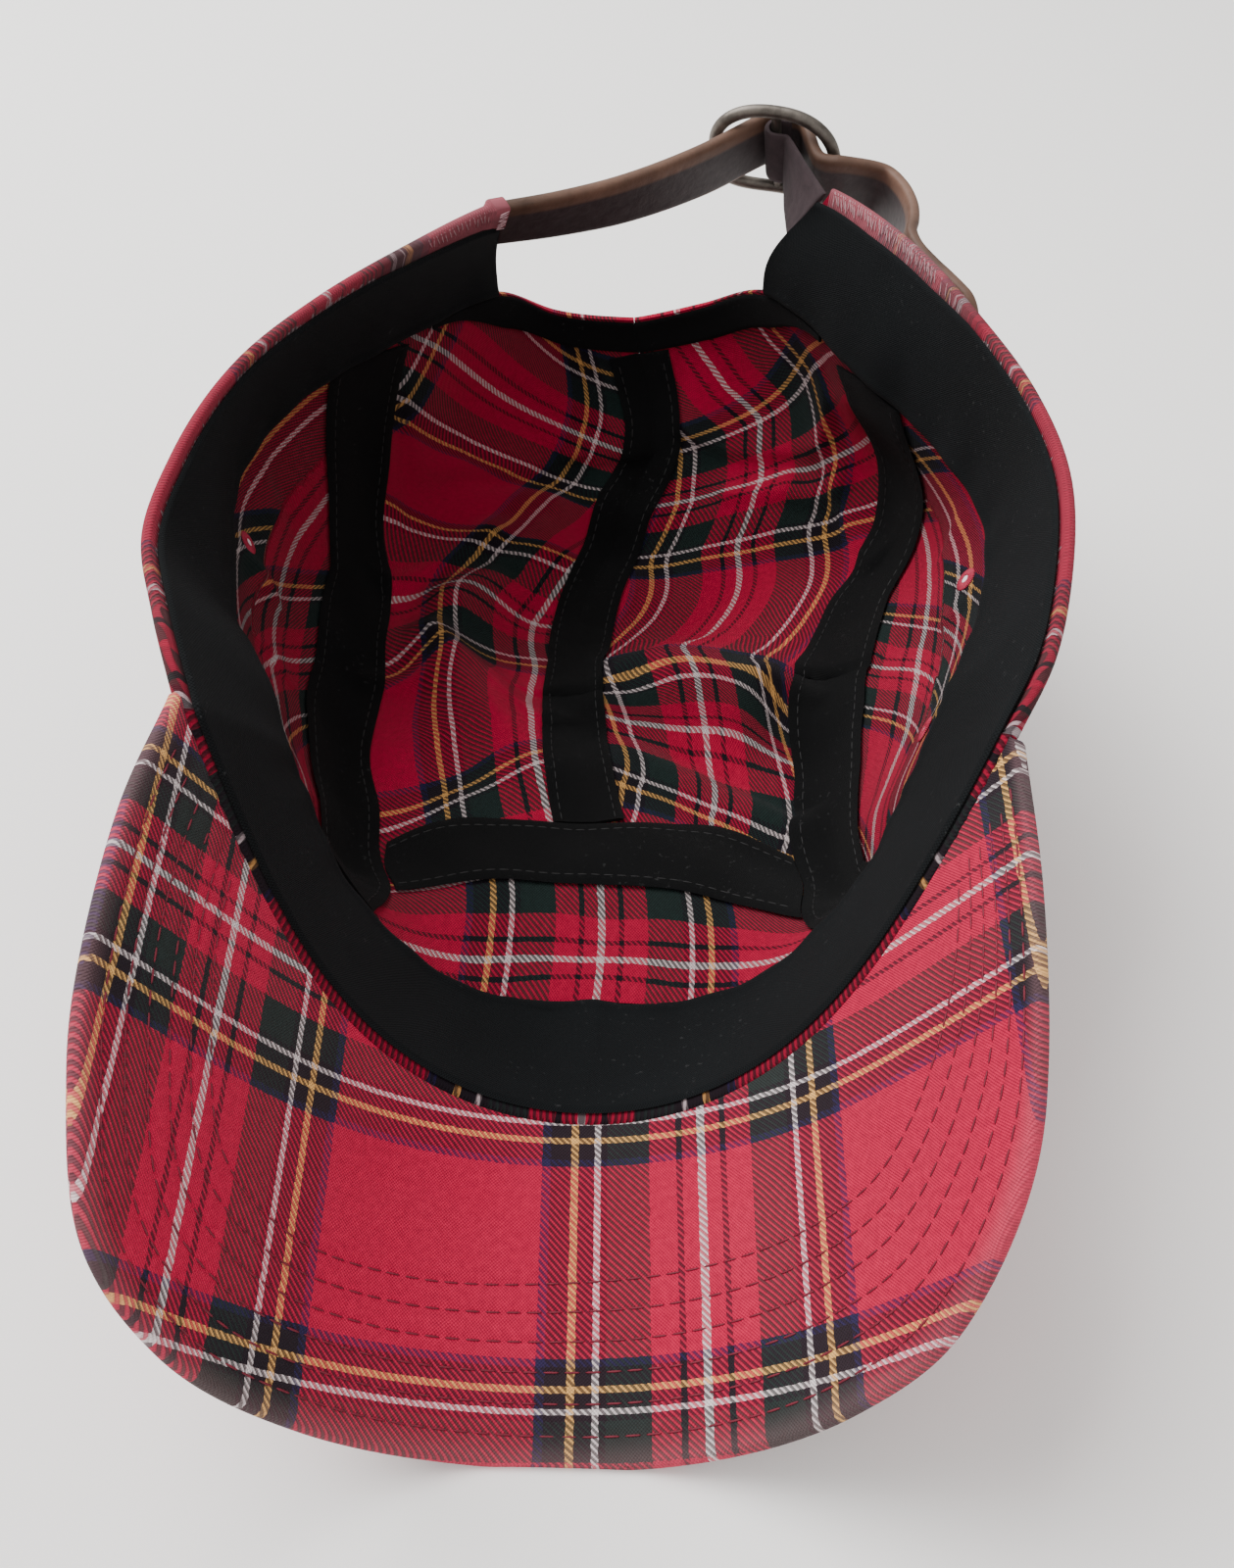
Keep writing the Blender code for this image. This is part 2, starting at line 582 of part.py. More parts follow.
def peak(finish):
    """Peak from the join to its outer edge."""
    rows = 7
    columns = 37
    share = np.linspace(-1, 1, columns)
    near_x, near_y = join_flat(share * PEAK_TURN)
    edge = smooth(PEAK_EDGE, (share + 1) / 2)
    far_x = edge[:, 0] * PEAK_HALF_WIDTH
    far_y = edge[:, 1] * PEAK_REACH
    near_y = near_y + GAP / 2
    part = np.linspace(0, 1, rows)[:, None]
    across = near_x + part * (far_x - near_x)
    forward = near_y + part * (far_y - near_y)
    upper = on_peak(across, forward)
    normal = peak_normal(across, forward)
    xi, eta = disc(share * PEAK_TURN, np.ones(columns))
    shared = bowl_normal(xi, eta)
    shared *= np.sign((shared * normal[0]).sum(-1, keepdims=True))
    normal[0] = shared
    lower = (upper + PEAK_THICK * normal).reshape(-1, 3)
    upper = upper.reshape(-1, 3)
    lower[:, 2] = np.maximum(lower[:, 2], 0.0)
    upper[:, 2] = np.maximum(upper[:, 2], WALL)
    return sheet("peak", upper, lower, grid_faces(rows, columns), finish)


def sweatband(finish):
    """Band inside the rim, open at the back."""
    columns = 57
    turn = np.linspace(-OPENING_TURN, OPENING_TURN, columns)[None, :]
    part = np.linspace(0, 1, 4)[:, None]
    top = trim(turn, np.ones_like(turn), BAND_DROP)
    rise = top + part * (RING_RISES[4] - top)
    low = -(LAY_GAP + BAND_THICK)
    return layer("sweatband", *disc(turn, rise), low, -LAY_GAP, finish)


def tape(name, xi, eta, width, finish, ends):
    """Flat tape laid along a line on the inside of the bowl."""
    along = direction(xi, eta)
    lines = []
    for share in np.linspace(-0.5, 0.5, 4):
        lines.append(shifted(xi, eta, along, np.full(len(xi), share * width)))
    xi, eta = ends(*np.array(lines).transpose(1, 0, 2))
    low = -(LAY_GAP + TAPE_THICK)
    return layer(name, xi, eta, low, -LAY_GAP, finish)


def side_tape(name, side, finish):
    """Tape over a side seam, from the sweatband's edge to the sweatband's edge."""
    place = np.linspace(*TAPE_ENDS, 31)
    xi, eta = seam_path(place)

    def under_band(xi, eta):
        turn, rise = polar(xi, eta)
        return disc(turn, np.minimum(rise, trim(turn, RING_RISES[4] + 0 * turn, GAP)))

    return tape(name, side * xi, eta, SIDE_TAPE_WIDTH, finish, under_band)


def front_tape(finish):
    """Tape over the front seam, between the side tapes."""
    turn = np.linspace(-35, 35, 23)
    xi, eta = disc(turn, smooth(FRONT_SEAM, np.abs(turn))[:, 0])
    places = np.linspace(0.10, 0.45, 40)
    edge_xi, edge_eta = seam_path(places)
    edge = shifted(edge_xi, edge_eta, direction(edge_xi, edge_eta),
                   np.full(40, -SIDE_TAPE_WIDTH / 2 - 2 * GAP))

    def between_tapes(xi, eta):
        reach = np.interp(-eta, -edge[1][::-1], edge[0][::-1])
        scale = reach[:, -1:] / np.abs(xi[:, -1:])
        other = reach[:, :1] / np.abs(xi[:, :1])
        return xi * np.where(xi > 0, scale, other), eta

    return tape("front_seam_tape", xi, eta, FRONT_TAPE_WIDTH, finish, between_tapes)


def binding_edge(turn):
    """Rise of the arch binding's lower edge."""
    return trim(turn, RING_RISES[4] + 0 * turn, BINDING_WIDTH)


def center_tape(finish):
    """Tape over the centre seam, from the front tape to the arch binding."""
    start = trim(np.array([0.0]), np.array([FRONT_SEAM[0][1]]), FRONT_TAPE_WIDTH / 2)[0]
    end = binding_edge(np.array([180.0]))[0]
    eta = np.linspace(-start, end, 30)

    def short_of_neighbours(xi, eta):
        turn, rise = polar(xi, eta)
        seam = smooth(FRONT_SEAM, np.abs(turn))[..., 0]
        front = trim(turn, seam, FRONT_TAPE_WIDTH / 2 + 2 * GAP)
        back = trim(turn, binding_edge(turn), 2 * GAP)
        return disc(turn, np.minimum(rise, np.where(eta < 0, front, back)))

    return tape("center_tape", np.zeros_like(eta), eta, TAPE_WIDTH, finish, short_of_neighbours)


def arch_binding(finish):
    """Facing along the arch, between the ends of the sweatband."""
    half = arch_turns()
    half[0] += 0.8
    turn = np.concatenate([half, -half[-2::-1]])[None, :]
    top = trim(turn, RING_RISES[4] + 0 * turn, GAP / 2)
    part = np.linspace(0, 1, 3)[:, None]
    rise = top + part * (binding_edge(turn) - top)
    return layer("arch_binding", *disc(turn, rise), -(LAY_GAP + TAPE_THICK), -LAY_GAP, finish)


def ribbon(name, line, down, width, thick, finish):
    """Leather strip hung from a line, with the ways down its face."""
    face = unit(np.cross(np.gradient(line, axis=0), down))
    width = np.broadcast_to(width, len(line))[:, None]
    corners = [line + face * thick / 2, line + face * thick / 2 + down * width,
               line - face * thick / 2 + down * width, line - face * thick / 2]
    count = len(line)
    points = np.vstack(corners)
    faces = []
    for k in range(4):
        a = k * count
        b = (k + 1) % 4 * count
        for i in range(count - 1):
            faces.append((a + i, a + i + 1, b + i + 1, b + i))
    faces.append((0, count, 2 * count, 3 * count))
    faces.append(tuple(k * count + count - 1 for k in (3, 2, 1, 0)))
    return solid(name, points, faces, finish)


def rounded(points, count):
    """Evenly spaced points on a smooth curve through a few points."""
    points = np.asarray(points, float)
    steps = np.linalg.norm(np.diff(points[:, :3], axis=0), axis=1)
    place = np.concatenate([[0.0], np.cumsum(np.sqrt(steps))])
    fine = smooth(np.column_stack([place, points]), np.linspace(0, place[-1], 600))
    steps = np.linalg.norm(np.diff(fine[:, :3], axis=0), axis=1)
    length = np.concatenate([[0.0], np.cumsum(steps)])
    want = np.linspace(0, length[-1], count)
    return np.column_stack([np.interp(want, length, column) for column in fine.T])


def buckle_frame():
    """Top of the bar, and the ways along, out and down of the buckle."""
    ends = rim(np.array([-OPENING_TURN, OPENING_TURN]))
    top = ends.mean(axis=0) + np.array(BAR_PLACE) * RIM_HALF_WIDTH
    ahead = unit(np.array(BUCKLE_WAY))
    down = np.array(BUCKLE_DOWN)
    down = unit(down - ahead * (down @ ahead))
    out = np.cross(ahead, down)
    return top, ahead, out, down


def wall_way(turn):
    """Way down the wall from the rim at each turn."""
    turn = np.atleast_1d(turn)
    return unit(on_bowl(turn, trim(turn, np.ones(len(turn)), STRAP_WIDTH)) - rim(turn))


def strap_line():
    """Upper edge of the strap, with its way down at each point."""
    top, ahead, out, down = buckle_frame()
    left = rim(np.array([-OPENING_TURN]))[0]
    start = left + unit(top - left) * SEAT_GAP + out * WALL / 2
    clear = BAR_RADIUS + TAB_THICK + 2 * GAP + STRAP_THICK / 2
    under = -BUCKLE_BOW - RAIL_RADIUS - 2 * GAP - STRAP_THICK / 2

    def in_buckle(along, share):
        aside = under + share * (clear - under)
        return top + ahead * along * BUCKLE_HALF_LENGTH + out * aside

    enter = in_buckle(*STRAP_WEAVE[0])
    places = [start]
    ways = [wall_way(-OPENING_TURN)[0]]
    for share, bow in STRAP_BOW:
        places.append(start + (enter - start) * share + out * bow * STRAP_WIDTH)
        ways.append(unit(ways[0] * (1 - share) ** 2 + down * share))
    for along, share in STRAP_WEAVE:
        places.append(in_buckle(along, share))
        ways.append(down)
    for turn, off, drop in FREE_END:
        way = wall_way(turn)[0]
        side = rim(np.array([turn + 0.5, turn - 0.5]))
        level = unit(np.array([side[0, 1] - side[1, 1], side[1, 0] - side[0, 0], 0.0]))
        base = rim(np.array([turn]))[0]
        places.append(base + level * off * STRAP_WIDTH + way * drop * STRAP_WIDTH)
        ways.append(unit(way + down * 2 * max(off - 0.3, 0.0)))
    both = rounded(np.column_stack([places, ways]), 76)
    return both[:, :3], unit(both[:, 3:])


def strap(finish):
    """Long strap, from the left end of the rim through the buckle to its free end."""
    line, ways = strap_line()
    return ribbon("strap", line, ways, STRAP_WIDTH, STRAP_THICK, finish)


def strap_tab(finish):
    """Short tab from the right end of the rim, turned back round the buckle's bar."""
    top, ahead, out, down = buckle_frame()
    right = rim(np.array([OPENING_TURN]))[0]
    lean = wall_way(OPENING_TURN)[0]
    radius = BAR_RADIUS + GAP + TAB_THICK / 2
    near = top + ahead * BUCKLE_HALF_LENGTH * TAB_HOLD
    seat = right + lean * WALL + unit(near - right) * SEAT_GAP
    places = [seat, seat + (near - out * radius - seat) * 0.5, near - out * radius]
    places.append(top + ahead * radius - out * radius)
    for step in range(1, 10):
        angle = math.pi * step / 10
        places.append(top - ahead * math.sin(angle) * radius - out * math.cos(angle) * radius)
    places.append(top + ahead * radius + out * radius)
    places.append(near + out * radius)
    line = np.array(places)
    share = np.clip(np.linalg.norm(line - seat, axis=1) / np.linalg.norm(near - seat), 0, 1)
    share = share[:, None]
    ways = unit(lean * (1 - share) + down * share)
    return ribbon("strap_tab", line, ways, STRAP_WIDTH, TAB_THICK, finish)


def buckle(finish):
    """Oval frame with a bar across its middle."""
    top, ahead, out, down = buckle_frame()
    middle = top + down * STRAP_WIDTH / 2
    half_height = STRAP_WIDTH / 2 + BUCKLE_MARGIN
    count = 36
    sides = 8
    angle = np.linspace(0, 2 * math.pi, count, endpoint=False)
    power = 2 / FRAME_SQUARENESS
    x = np.sign(np.cos(angle)) * np.abs(np.cos(angle)) ** power
    y = np.sign(np.sin(angle)) * np.abs(np.sin(angle)) ** power
    line = (middle + np.outer(x * BUCKLE_HALF_LENGTH, ahead) + np.outer(y * half_height, down)
            - np.outer(x ** 2 * BUCKLE_BOW, out))
    way = unit(np.roll(line, -1, axis=0) - np.roll(line, 1, axis=0))
    first = unit(np.cross(way, out))
    second = np.cross(way, first)
    points = []
    for k in range(sides):
        turn = 2 * math.pi * k / sides
        points.append(line + RAIL_RADIUS * (math.cos(turn) * first + math.sin(turn) * second))
    points = np.array(points).transpose(1, 0, 2).reshape(-1, 3)
    faces = []
    for i in range(count):
        for k in range(sides):
            a = i * sides + k
            b = i * sides + (k + 1) % sides
            c = (i + 1) % count * sides
            faces.append((a, b, c + (k + 1) % sides, c + k))
    frame = solid("buckle", points, faces, finish)
    bpy.ops.mesh.primitive_cylinder_add(vertices=10, radius=BAR_RADIUS, depth=2 * half_height)
    bar = bpy.context.object
    bar.name = "buckle_bar_shape"
    bar.location = tuple(middle)
    z_axis = -down
    x_axis = ahead
    y_axis = np.cross(z_axis, x_axis)
    rotation = np.column_stack([x_axis, y_axis, z_axis])
    bar.rotation_mode = "QUATERNION"
    bar.rotation_quaternion = Matrix([list(row) for row in rotation]).to_quaternion()
    bar.hide_render = True
    bar.display_type = "WIRE"
    union = frame.modifiers.new("bar", "BOOLEAN")
    union.operation = "UNION"
    union.solver = "EXACT"
    union.object = bar
    return frame, bar


def eyelet(number, turn, rise, finish):
    """Stitched ring round a vent hole."""
    xi, eta = disc(np.array([turn]), np.array([rise]))
    point = on_bowl(*polar(xi, eta))[0]
    a, _ = slopes(xi, eta)
    normal = bowl_normal(xi, eta)[0]
    first = unit(a[0] - normal * (a[0] @ normal))
    second = np.cross(normal, first)
    middle = point - normal * (EYELET_CORD + EYELET_GAP)
    count = 10
    sides = 5
    points = []
    faces = []
    for i in range(count):
        angle = 2 * math.pi * i / count
        way = math.cos(angle) * first + math.sin(angle) * second
        for k in range(sides):
            turn_round = 2 * math.pi * k / sides
            points.append(middle + way * (EYELET_RADIUS + EYELET_CORD * math.cos(turn_round))
                          + normal * EYELET_CORD * math.sin(turn_round))
            faces.append((i * sides + k, i * sides + (k + 1) % sides,
                          (i + 1) % count * sides + (k + 1) % sides, (i + 1) % count * sides + k))
    return solid(f"eyelet_{number}", points, faces, finish)


def centre_on_floor(objects):
    """Move everything so that the origin is below the middle, on the table."""
    corners = []
    for made in objects:
        corners += [tuple(made.matrix_world @ v.co) for v in made.data.vertices]
    corners = np.array(corners)
    low = corners.min(axis=0)
    high = corners.max(axis=0)
    for made in objects:
        made.location.x -= (low[0] + high[0]) / 2
        made.location.y -= (low[1] + high[1]) / 2
        made.location.z -= low[2]


def main():
    """Build the cap."""
    for old in list(bpy.data.objects):
        bpy.data.objects.remove(old, do_unlink=True)
    plaid = material("plaid_twill", (0.55, 0.06, 0.10), 0.85)
    peak_plaid = material("peak_twill", (0.60, 0.07, 0.13), 0.80)
    band = material("black_twill", (0.015, 0.017, 0.018), 0.85)
    tape_black = material("black_tape", (0.020, 0.022, 0.022), 0.80)
    leather = material("brown_leather", (0.13, 0.075, 0.05), 0.60)
    tab_leather = material("tab_leather", (0.08, 0.05, 0.055), 0.85)
    metal = material("aged_brass", (0.16, 0.14, 0.12), 0.40, 1.0)
    thread = material("eyelet_thread", (0.75, 0.70, 0.70), 0.70)
    front_panel(plaid)
    for word, side in (("left", -1), ("right", 1)):
        crown_half(f"crown_{word}", side, plaid)
        side_panel(f"side_{word}", side, plaid)
        side_tape(f"side_tape_{word}", side, tape_black)
    front_tape(tape_black)
    center_tape(tape_black)
    arch_binding(tape_black)
    sweatband(band)
    peak(peak_plaid)
    strap(leather)
    strap_tab(tab_leather)
    buckle(metal)
    for number, (turn, rise) in enumerate(EYELETS, 1):
        eyelet(number, turn, rise, thread)
    bpy.context.view_layer.update()
    centre_on_floor(list(bpy.data.objects))


main()
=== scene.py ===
"""Looks of the camp cap: plaid twill, black band and tapes, stitched peak, buckled strap.

Metres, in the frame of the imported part.  The bowl of the crown and the bend of the peak
follow the same named sizes as the part's source; folds, rolls and stitches are finer here.
"""

import math
from functools import partialmethod

import bpy
import numpy as np
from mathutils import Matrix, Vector


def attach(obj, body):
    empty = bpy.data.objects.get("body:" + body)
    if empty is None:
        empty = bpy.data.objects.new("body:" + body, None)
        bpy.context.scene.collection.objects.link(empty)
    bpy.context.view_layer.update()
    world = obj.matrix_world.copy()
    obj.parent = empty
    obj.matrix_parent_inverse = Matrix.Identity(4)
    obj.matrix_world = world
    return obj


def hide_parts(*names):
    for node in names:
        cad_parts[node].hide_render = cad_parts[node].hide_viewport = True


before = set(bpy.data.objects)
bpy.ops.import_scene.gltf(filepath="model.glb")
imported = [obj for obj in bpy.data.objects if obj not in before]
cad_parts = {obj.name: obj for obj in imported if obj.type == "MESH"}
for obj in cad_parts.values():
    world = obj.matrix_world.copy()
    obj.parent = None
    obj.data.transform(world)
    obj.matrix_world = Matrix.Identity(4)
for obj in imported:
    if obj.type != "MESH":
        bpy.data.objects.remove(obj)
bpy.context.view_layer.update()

# From the cap's own frame to the part's
SHIFT = np.array([0.0015231, -0.0097171, 0.0])

# Cloth, leather and the gaps between layers
WALL = 0.0015
PEAK_THICK = 0.0028
BAND_THICK = 0.0012
TAPE_THICK = 0.0007
GAP = 0.0003
LAY_GAP = 0.0005         # from the crown's cloth to tapes and sweatband
PANEL_THICK = WALL - 0.0002
BAND_EDGE = 0.0007       # how far in the edges of the sweatband and the tapes are rounded
TAPE_EDGE = 0.0006

# Peak, cut flat and bent across to a nearly round trough
PEAK_HALF_WIDTH = 0.097
PEAK_REACH = 0.0555
PEAK_BEND_RADIUS = 0.0467
PEAK_BEND_LOSS = 0.887
PEAK_BEND_SKEW = -0.077
BEND_SPAN = 0.070
PEAK_TILT = math.radians(8.27)
PEAK_YAW = math.radians(2.08)
PEAK_ROLL = math.radians(0.73)
JOIN_HALF = 0.0935
JOIN_SAG = 0.0405
JOIN_HEIGHT = 0.0085
FRONT_DEPTH = 0.0667

# Rim behind the peak, and the crown
RIM_HALF_WIDTH = 0.080
RIM_LENGTH = 0.150
RIM_HEIGHT = 0.096
BAND_WIDTH = 0.031
CROWN_HALF_WIDTH = 0.062
CROWN_LENGTH = 0.107
CROWN_DEPTH = 0.040
CROWN_SIZE = np.array([CROWN_HALF_WIDTH, CROWN_LENGTH, CROWN_DEPTH])
PEAK_TURN = 60.0
OPENING_TURN = 150.0

TAPE_WIDTH = 0.0150
SIDE_TAPE_WIDTH = 0.0182
TAPE_FLARE = 0.22        # how much wider the side tapes are under the sweatband
FRONT_TAPE_WIDTH = 0.0170
BINDING_WIDTH = 0.0085

STRAP_WIDTH = 0.0145
STRAP_THICK = 0.0025
TAB_THICK = 0.0014
BAR_RADIUS = 0.0011
RAIL_RADIUS = 0.0014
BUCKLE_HALF_LENGTH = 0.0140
BUCKLE_MARGIN = 0.0042
FRAME_SQUARENESS = 2.8
BUCKLE_BOW = 0.0025

# Peak outline in shares of PEAK_HALF_WIDTH and PEAK_REACH: place along, out, forward
PEAK_EDGE = (
    (0.00, -0.985, -0.77), (0.08, -1.020, -0.33), (0.15, -1.012, 0.10), (0.22, -0.975, 0.41),
    (0.29, -0.880, 0.75), (0.36, -0.700, 0.92), (0.44, -0.420, 0.99), (0.52, -0.100, 1.00),
    (0.60, 0.210, 0.985), (0.68, 0.490, 0.92), (0.75, 0.690, 0.81), (0.82, 0.850, 0.55),
    (0.89, 0.925, 0.22), (0.95, 0.965, -0.27), (1.00, 0.973, -0.69),
)

# Rim behind the peak: turn, then out, back and up for each side
RIM = (
    (70, 0.91, 0.110, 0.828, 0.90, 0.110, 0.818),
    (80, 0.99, 0.230, 0.854, 0.96, 0.240, 0.844),
    (90, 0.99, 0.365, 0.880, 0.99, 0.375, 0.870),
    (105, 0.92, 0.535, 0.917, 0.945, 0.546, 0.907),
    (120, 0.775, 0.671, 0.948, 0.820, 0.715, 0.948),
    (135, 0.600, 0.787, 0.974, 0.675, 0.863, 0.984),
    (150, 0.400, 0.912, 0.990, 0.495, 0.988, 1.000),
    (180, 0.000, 0.985, 1.010, 0.000, 0.985, 1.010),
)

# From the rim to the sweatband's lower edge: turn, inward, backward, down
BAND_LEAN = (
    (0, 0.00, 0.98, 0.21, 0.00, 0.98, 0.21), (20, 0.00, 0.93, 0.40, 0.00, 0.93, 0.40),
    (30, 0.00, 0.92, 0.48, 0.00, 0.92, 0.48), (40, 0.00, 0.89, 0.52, 0.00, 0.89, 0.52),
    (50, 0.08, 0.84, 0.66, 0.08, 0.84, 0.66), (60, 0.22, 0.68, 0.92, 0.22, 0.68, 0.92),
    (70, 0.29, 0.50, 0.87, 0.29, 0.50, 0.87), (80, 0.22, 0.36, 0.93, 0.28, 0.34, 0.93),
    (90, 0.04, 0.30, 0.97, 0.20, 0.24, 0.97), (105, -0.25, 0.26, 0.93, 0.06, 0.18, 0.98),
    (120, -0.33, 0.34, 0.88, 0.06, 0.12, 0.99), (135, -0.29, 0.40, 0.88, 0.22, 0.06, 0.97),
    (150, -0.15, 0.47, 0.87, 0.34, 0.26, 0.91), (165, -0.12, 0.55, 1.20, 0.16, 0.50, 1.20),
    (180, 0.00, 0.58, 1.34, 0.00, 0.58, 1.34),
)

# Rings of the bowl: turn, out left, out right, back, up
MID_RING = (
    (0, 0.00, 0.00, -0.165, 0.05), (20, 0.42, 0.41, -0.160, 0.10),
    (40, 0.81, 0.79, -0.175, 0.38), (60, 0.95, 0.89, -0.045, 0.70),
    (90, 1.21, 1.06, 0.320, 0.84), (115, 1.20, 1.10, 0.660, 0.90),
    (135, 1.00, 0.98, 0.900, 0.95), (160, 0.44, 0.44, 1.120, 0.80), (180, 0.0, 0.0, 1.150, 0.66),
)
FOOT_RING = (
    (0, 0.00, 0.00, 0.005, 0.085), (20, 0.39, 0.37, -0.010, 0.10),
    (40, 0.76, 0.74, -0.075, 0.16), (60, 0.91, 0.79, 0.095, 0.22),
    (90, 1.00, 0.81, 0.355, 0.33), (115, 1.05, 0.92, 0.655, 0.42),
    (135, 0.94, 0.90, 0.850, 0.44), (160, 0.40, 0.40, 0.960, 0.30), (180, 0.0, 0.0, 0.990, 0.20),
)
FLOOR_RING = (
    (0, 0.00, 0.00, 0.300, 0.03), (40, 0.40, 0.38, 0.280, 0.04), (90, 0.52, 0.44, 0.540, 0.09),
    (135, 0.46, 0.44, 0.740, 0.08), (180, 0.0, 0.0, 0.800, 0.05),
)
CROWN_MIDDLE = (0.0, 0.560, 0.03)
RING_RISES = (0.0, 0.25, 0.45, 0.62, 0.80, 1.0)
FOOT_RISE, BAND_RISE = RING_RISES[2], RING_RISES[4]

# Folds of the crown cloth: ends (out, back), height, then how far they reach towards the
# front and towards the back
FOLDS = (
    (-0.75, 0.54, -0.26, 0.24, 0.32, 0.085, 0.085),
    (-0.38, 0.93, -0.70, 0.70, 0.34, 0.080, 0.080),
    (-0.02, 0.47, 0.52, 0.44, 0.40, 0.090, 0.150),
    (0.52, 0.38, 0.70, 0.34, 0.22, 0.080, 0.080),
    (0.02, 0.30, 0.62, 0.08, 0.14, 0.060, 0.060),
    (-0.10, 1.02, 0.55, 1.00, 0.20, 0.050, 0.050),
    (-0.70, 0.97, -0.15, 1.03, 0.20, 0.050, 0.050),
)
# Sharp tucks and creases: ends (out, back), height, reach to the front and to the back
CREASES = (
    (-0.907, 0.955, -0.330, 1.100, 0.060, 0.014, 0.045),
    (-0.330, 1.100, -0.033, 1.132, 0.040, 0.012, 0.040),
    (0.204, 1.149, 0.733, 1.030, 0.050, 0.014, 0.045),
    (0.733, 1.030, 0.919, 0.786, 0.045, 0.018, 0.035),
    (-0.380, 1.004, -0.606, 0.921, 0.030, 0.025, 0.040),
    (-0.606, 0.921, -0.946, 0.711, 0.050, 0.025, 0.040),
    (-0.912, 0.900, -0.400, 0.985, -0.040, 0.025, 0.020),
    (-0.743, 0.550, -0.275, 0.376, 0.045, 0.022, 0.045),
    (-0.943, 0.399, -0.754, 0.442, 0.030, 0.018, 0.025),
    (0.014, 0.364, 0.236, 0.284, -0.020, 0.020, 0.035),
    (0.236, 0.284, 0.643, 0.116, -0.035, 0.018, 0.035),
    (-0.057, 0.500, 0.322, 0.671, 0.025, 0.030, 0.025),
    (0.498, 0.413, 0.674, 0.373, 0.030, 0.020, 0.030),
    (0.334, 1.027, 0.795, 0.962, 0.035, 0.014, 0.022),
    (-1.295, 0.573, -1.261, 0.373, 0.050, 0.020, 0.030),
    (-1.261, 0.373, -1.183, 0.246, 0.045, 0.020, 0.030),
    (1.130, 0.560, 1.112, 0.353, 0.045, 0.020, 0.030),
)
# Small unevenness of the cloth: waves across and along per metre, start, height in metres
RIPPLES = (
    (160.0, 95.0, 0.4, 0.00030), (-110.0, 210.0, 2.1, 0.00024), (320.0, -180.0, 1.2, 0.00014),
    (240.0, 390.0, 4.0, 0.00010),
)
FOLD_BLEND = 0.001       # over which a fold's two reaches meet, in metres
FOLD_CALM = 0.70         # how much folds fade at the centre seam and the foot
CALM_REACH = 0.16
CREASE_FADE = 0.12       # rise over which creases fade below the sweatband
# Where the bowl turns into its wall, how much less creases lift there, and how far they push
WALL_RISES = (0.34, 0.60)
WALL_FLATTENS = 0.8
WALL_PUSH = 0.9

# Sideways drift of the centre seam: place on the disc, share of the half width
DRIFT = (
    (-1.0, 0.00), (-0.45, -0.05), (-0.25, -0.165), (0.00, -0.20), (0.28, -0.18),
    (0.48, -0.08), (0.62, 0.03), (0.80, -0.06), (1.00, 0.00),
)
DRIFT_REACH = 0.75

# Side seam: place, turn, rise.  Front seam: turn, rise
SIDE_SEAM = (
    (0.00, 35, 1.00), (0.12, 38, 0.78), (0.25, 42, 0.52), (0.32, 50, 0.470), (0.50, 78, 0.450),
    (0.62, 100, 0.435), (0.72, 119, 0.455), (0.80, 128, 0.560), (0.90, 132, 0.80),
    (1.00, 134, 1.00),
)
SEAM_CORNER = 0.25
SEAM_AT_BAND = 0.90
TAPE_ENDS = (0.12, 0.90)
FLARE_PLACES = (0.68, 0.86)
FRONT_TAPE_TURN = 35     # where the front tape ends each side
FRONT_TAPE_SEAM = (0.10, 0.45)   # places on the side seam that it meets
FRONT_SEAM = ((0, 0.450), (20, 0.450), (33, 0.465), (42, 0.520))
EYELETS = ((-98, 0.72), (-70, 0.72), (70, 0.72), (98, 0.72))

STRAP_BOW = ((0.25, -0.20), (0.50, -0.30), (0.78, -0.22))
BAR_PLACE = (0.297, 0.325, 0.077)
BUCKLE_WAY = (0.97, -0.24, -0.02)
BUCKLE_DOWN = (0.0, 0.45, -0.89)
FREE_END = (
    (149.5, 1.36, 0.02), (146.7, 1.27, 0.08), (143.2, 1.05, 0.14), (140.8, 0.84, 0.18),
    (138.8, 0.62, 0.20), (136.3, 0.53, 0.24), (133.0, 0.52, 0.28), (129.3, 0.54, 0.30),
    (126.1, 0.56, 0.32), (123.2, 0.55, 0.34),
)
STRAP_WEAVE = (
    (-0.36, 0.72), (-0.14, 0.98), (0.10, 1.0), (0.33, 0.98), (0.80, 0.03), (1.00, -0.03),
    (1.14, 0.0),
)
TAB_HOLD = 0.20
SEAT_GAP = 0.0009
STRAP_TIP = 0.006        # length of the round tip, and share of the width at its very end
TIP_WIDTH = 0.25
STRAP_TURNED = -0.27     # across the strap, from where its far face shows as flesh side
LEATHER_CORNER = ((-0.5, 0.0), (-0.5, 0.5), (-0.47, 0.85), (-0.42, 1.0))
LEATHER_FLAT = (-0.36, 0.36, 13)
LEATHER_EDGE = 0.0006    # length over which it is thinned at both ends, and by how much
LEATHER_THIN = 0.25

# Plaid: one full repeat of the pattern, across the warp and along it
SETT = 0.093
SETT_ALONG = 0.078
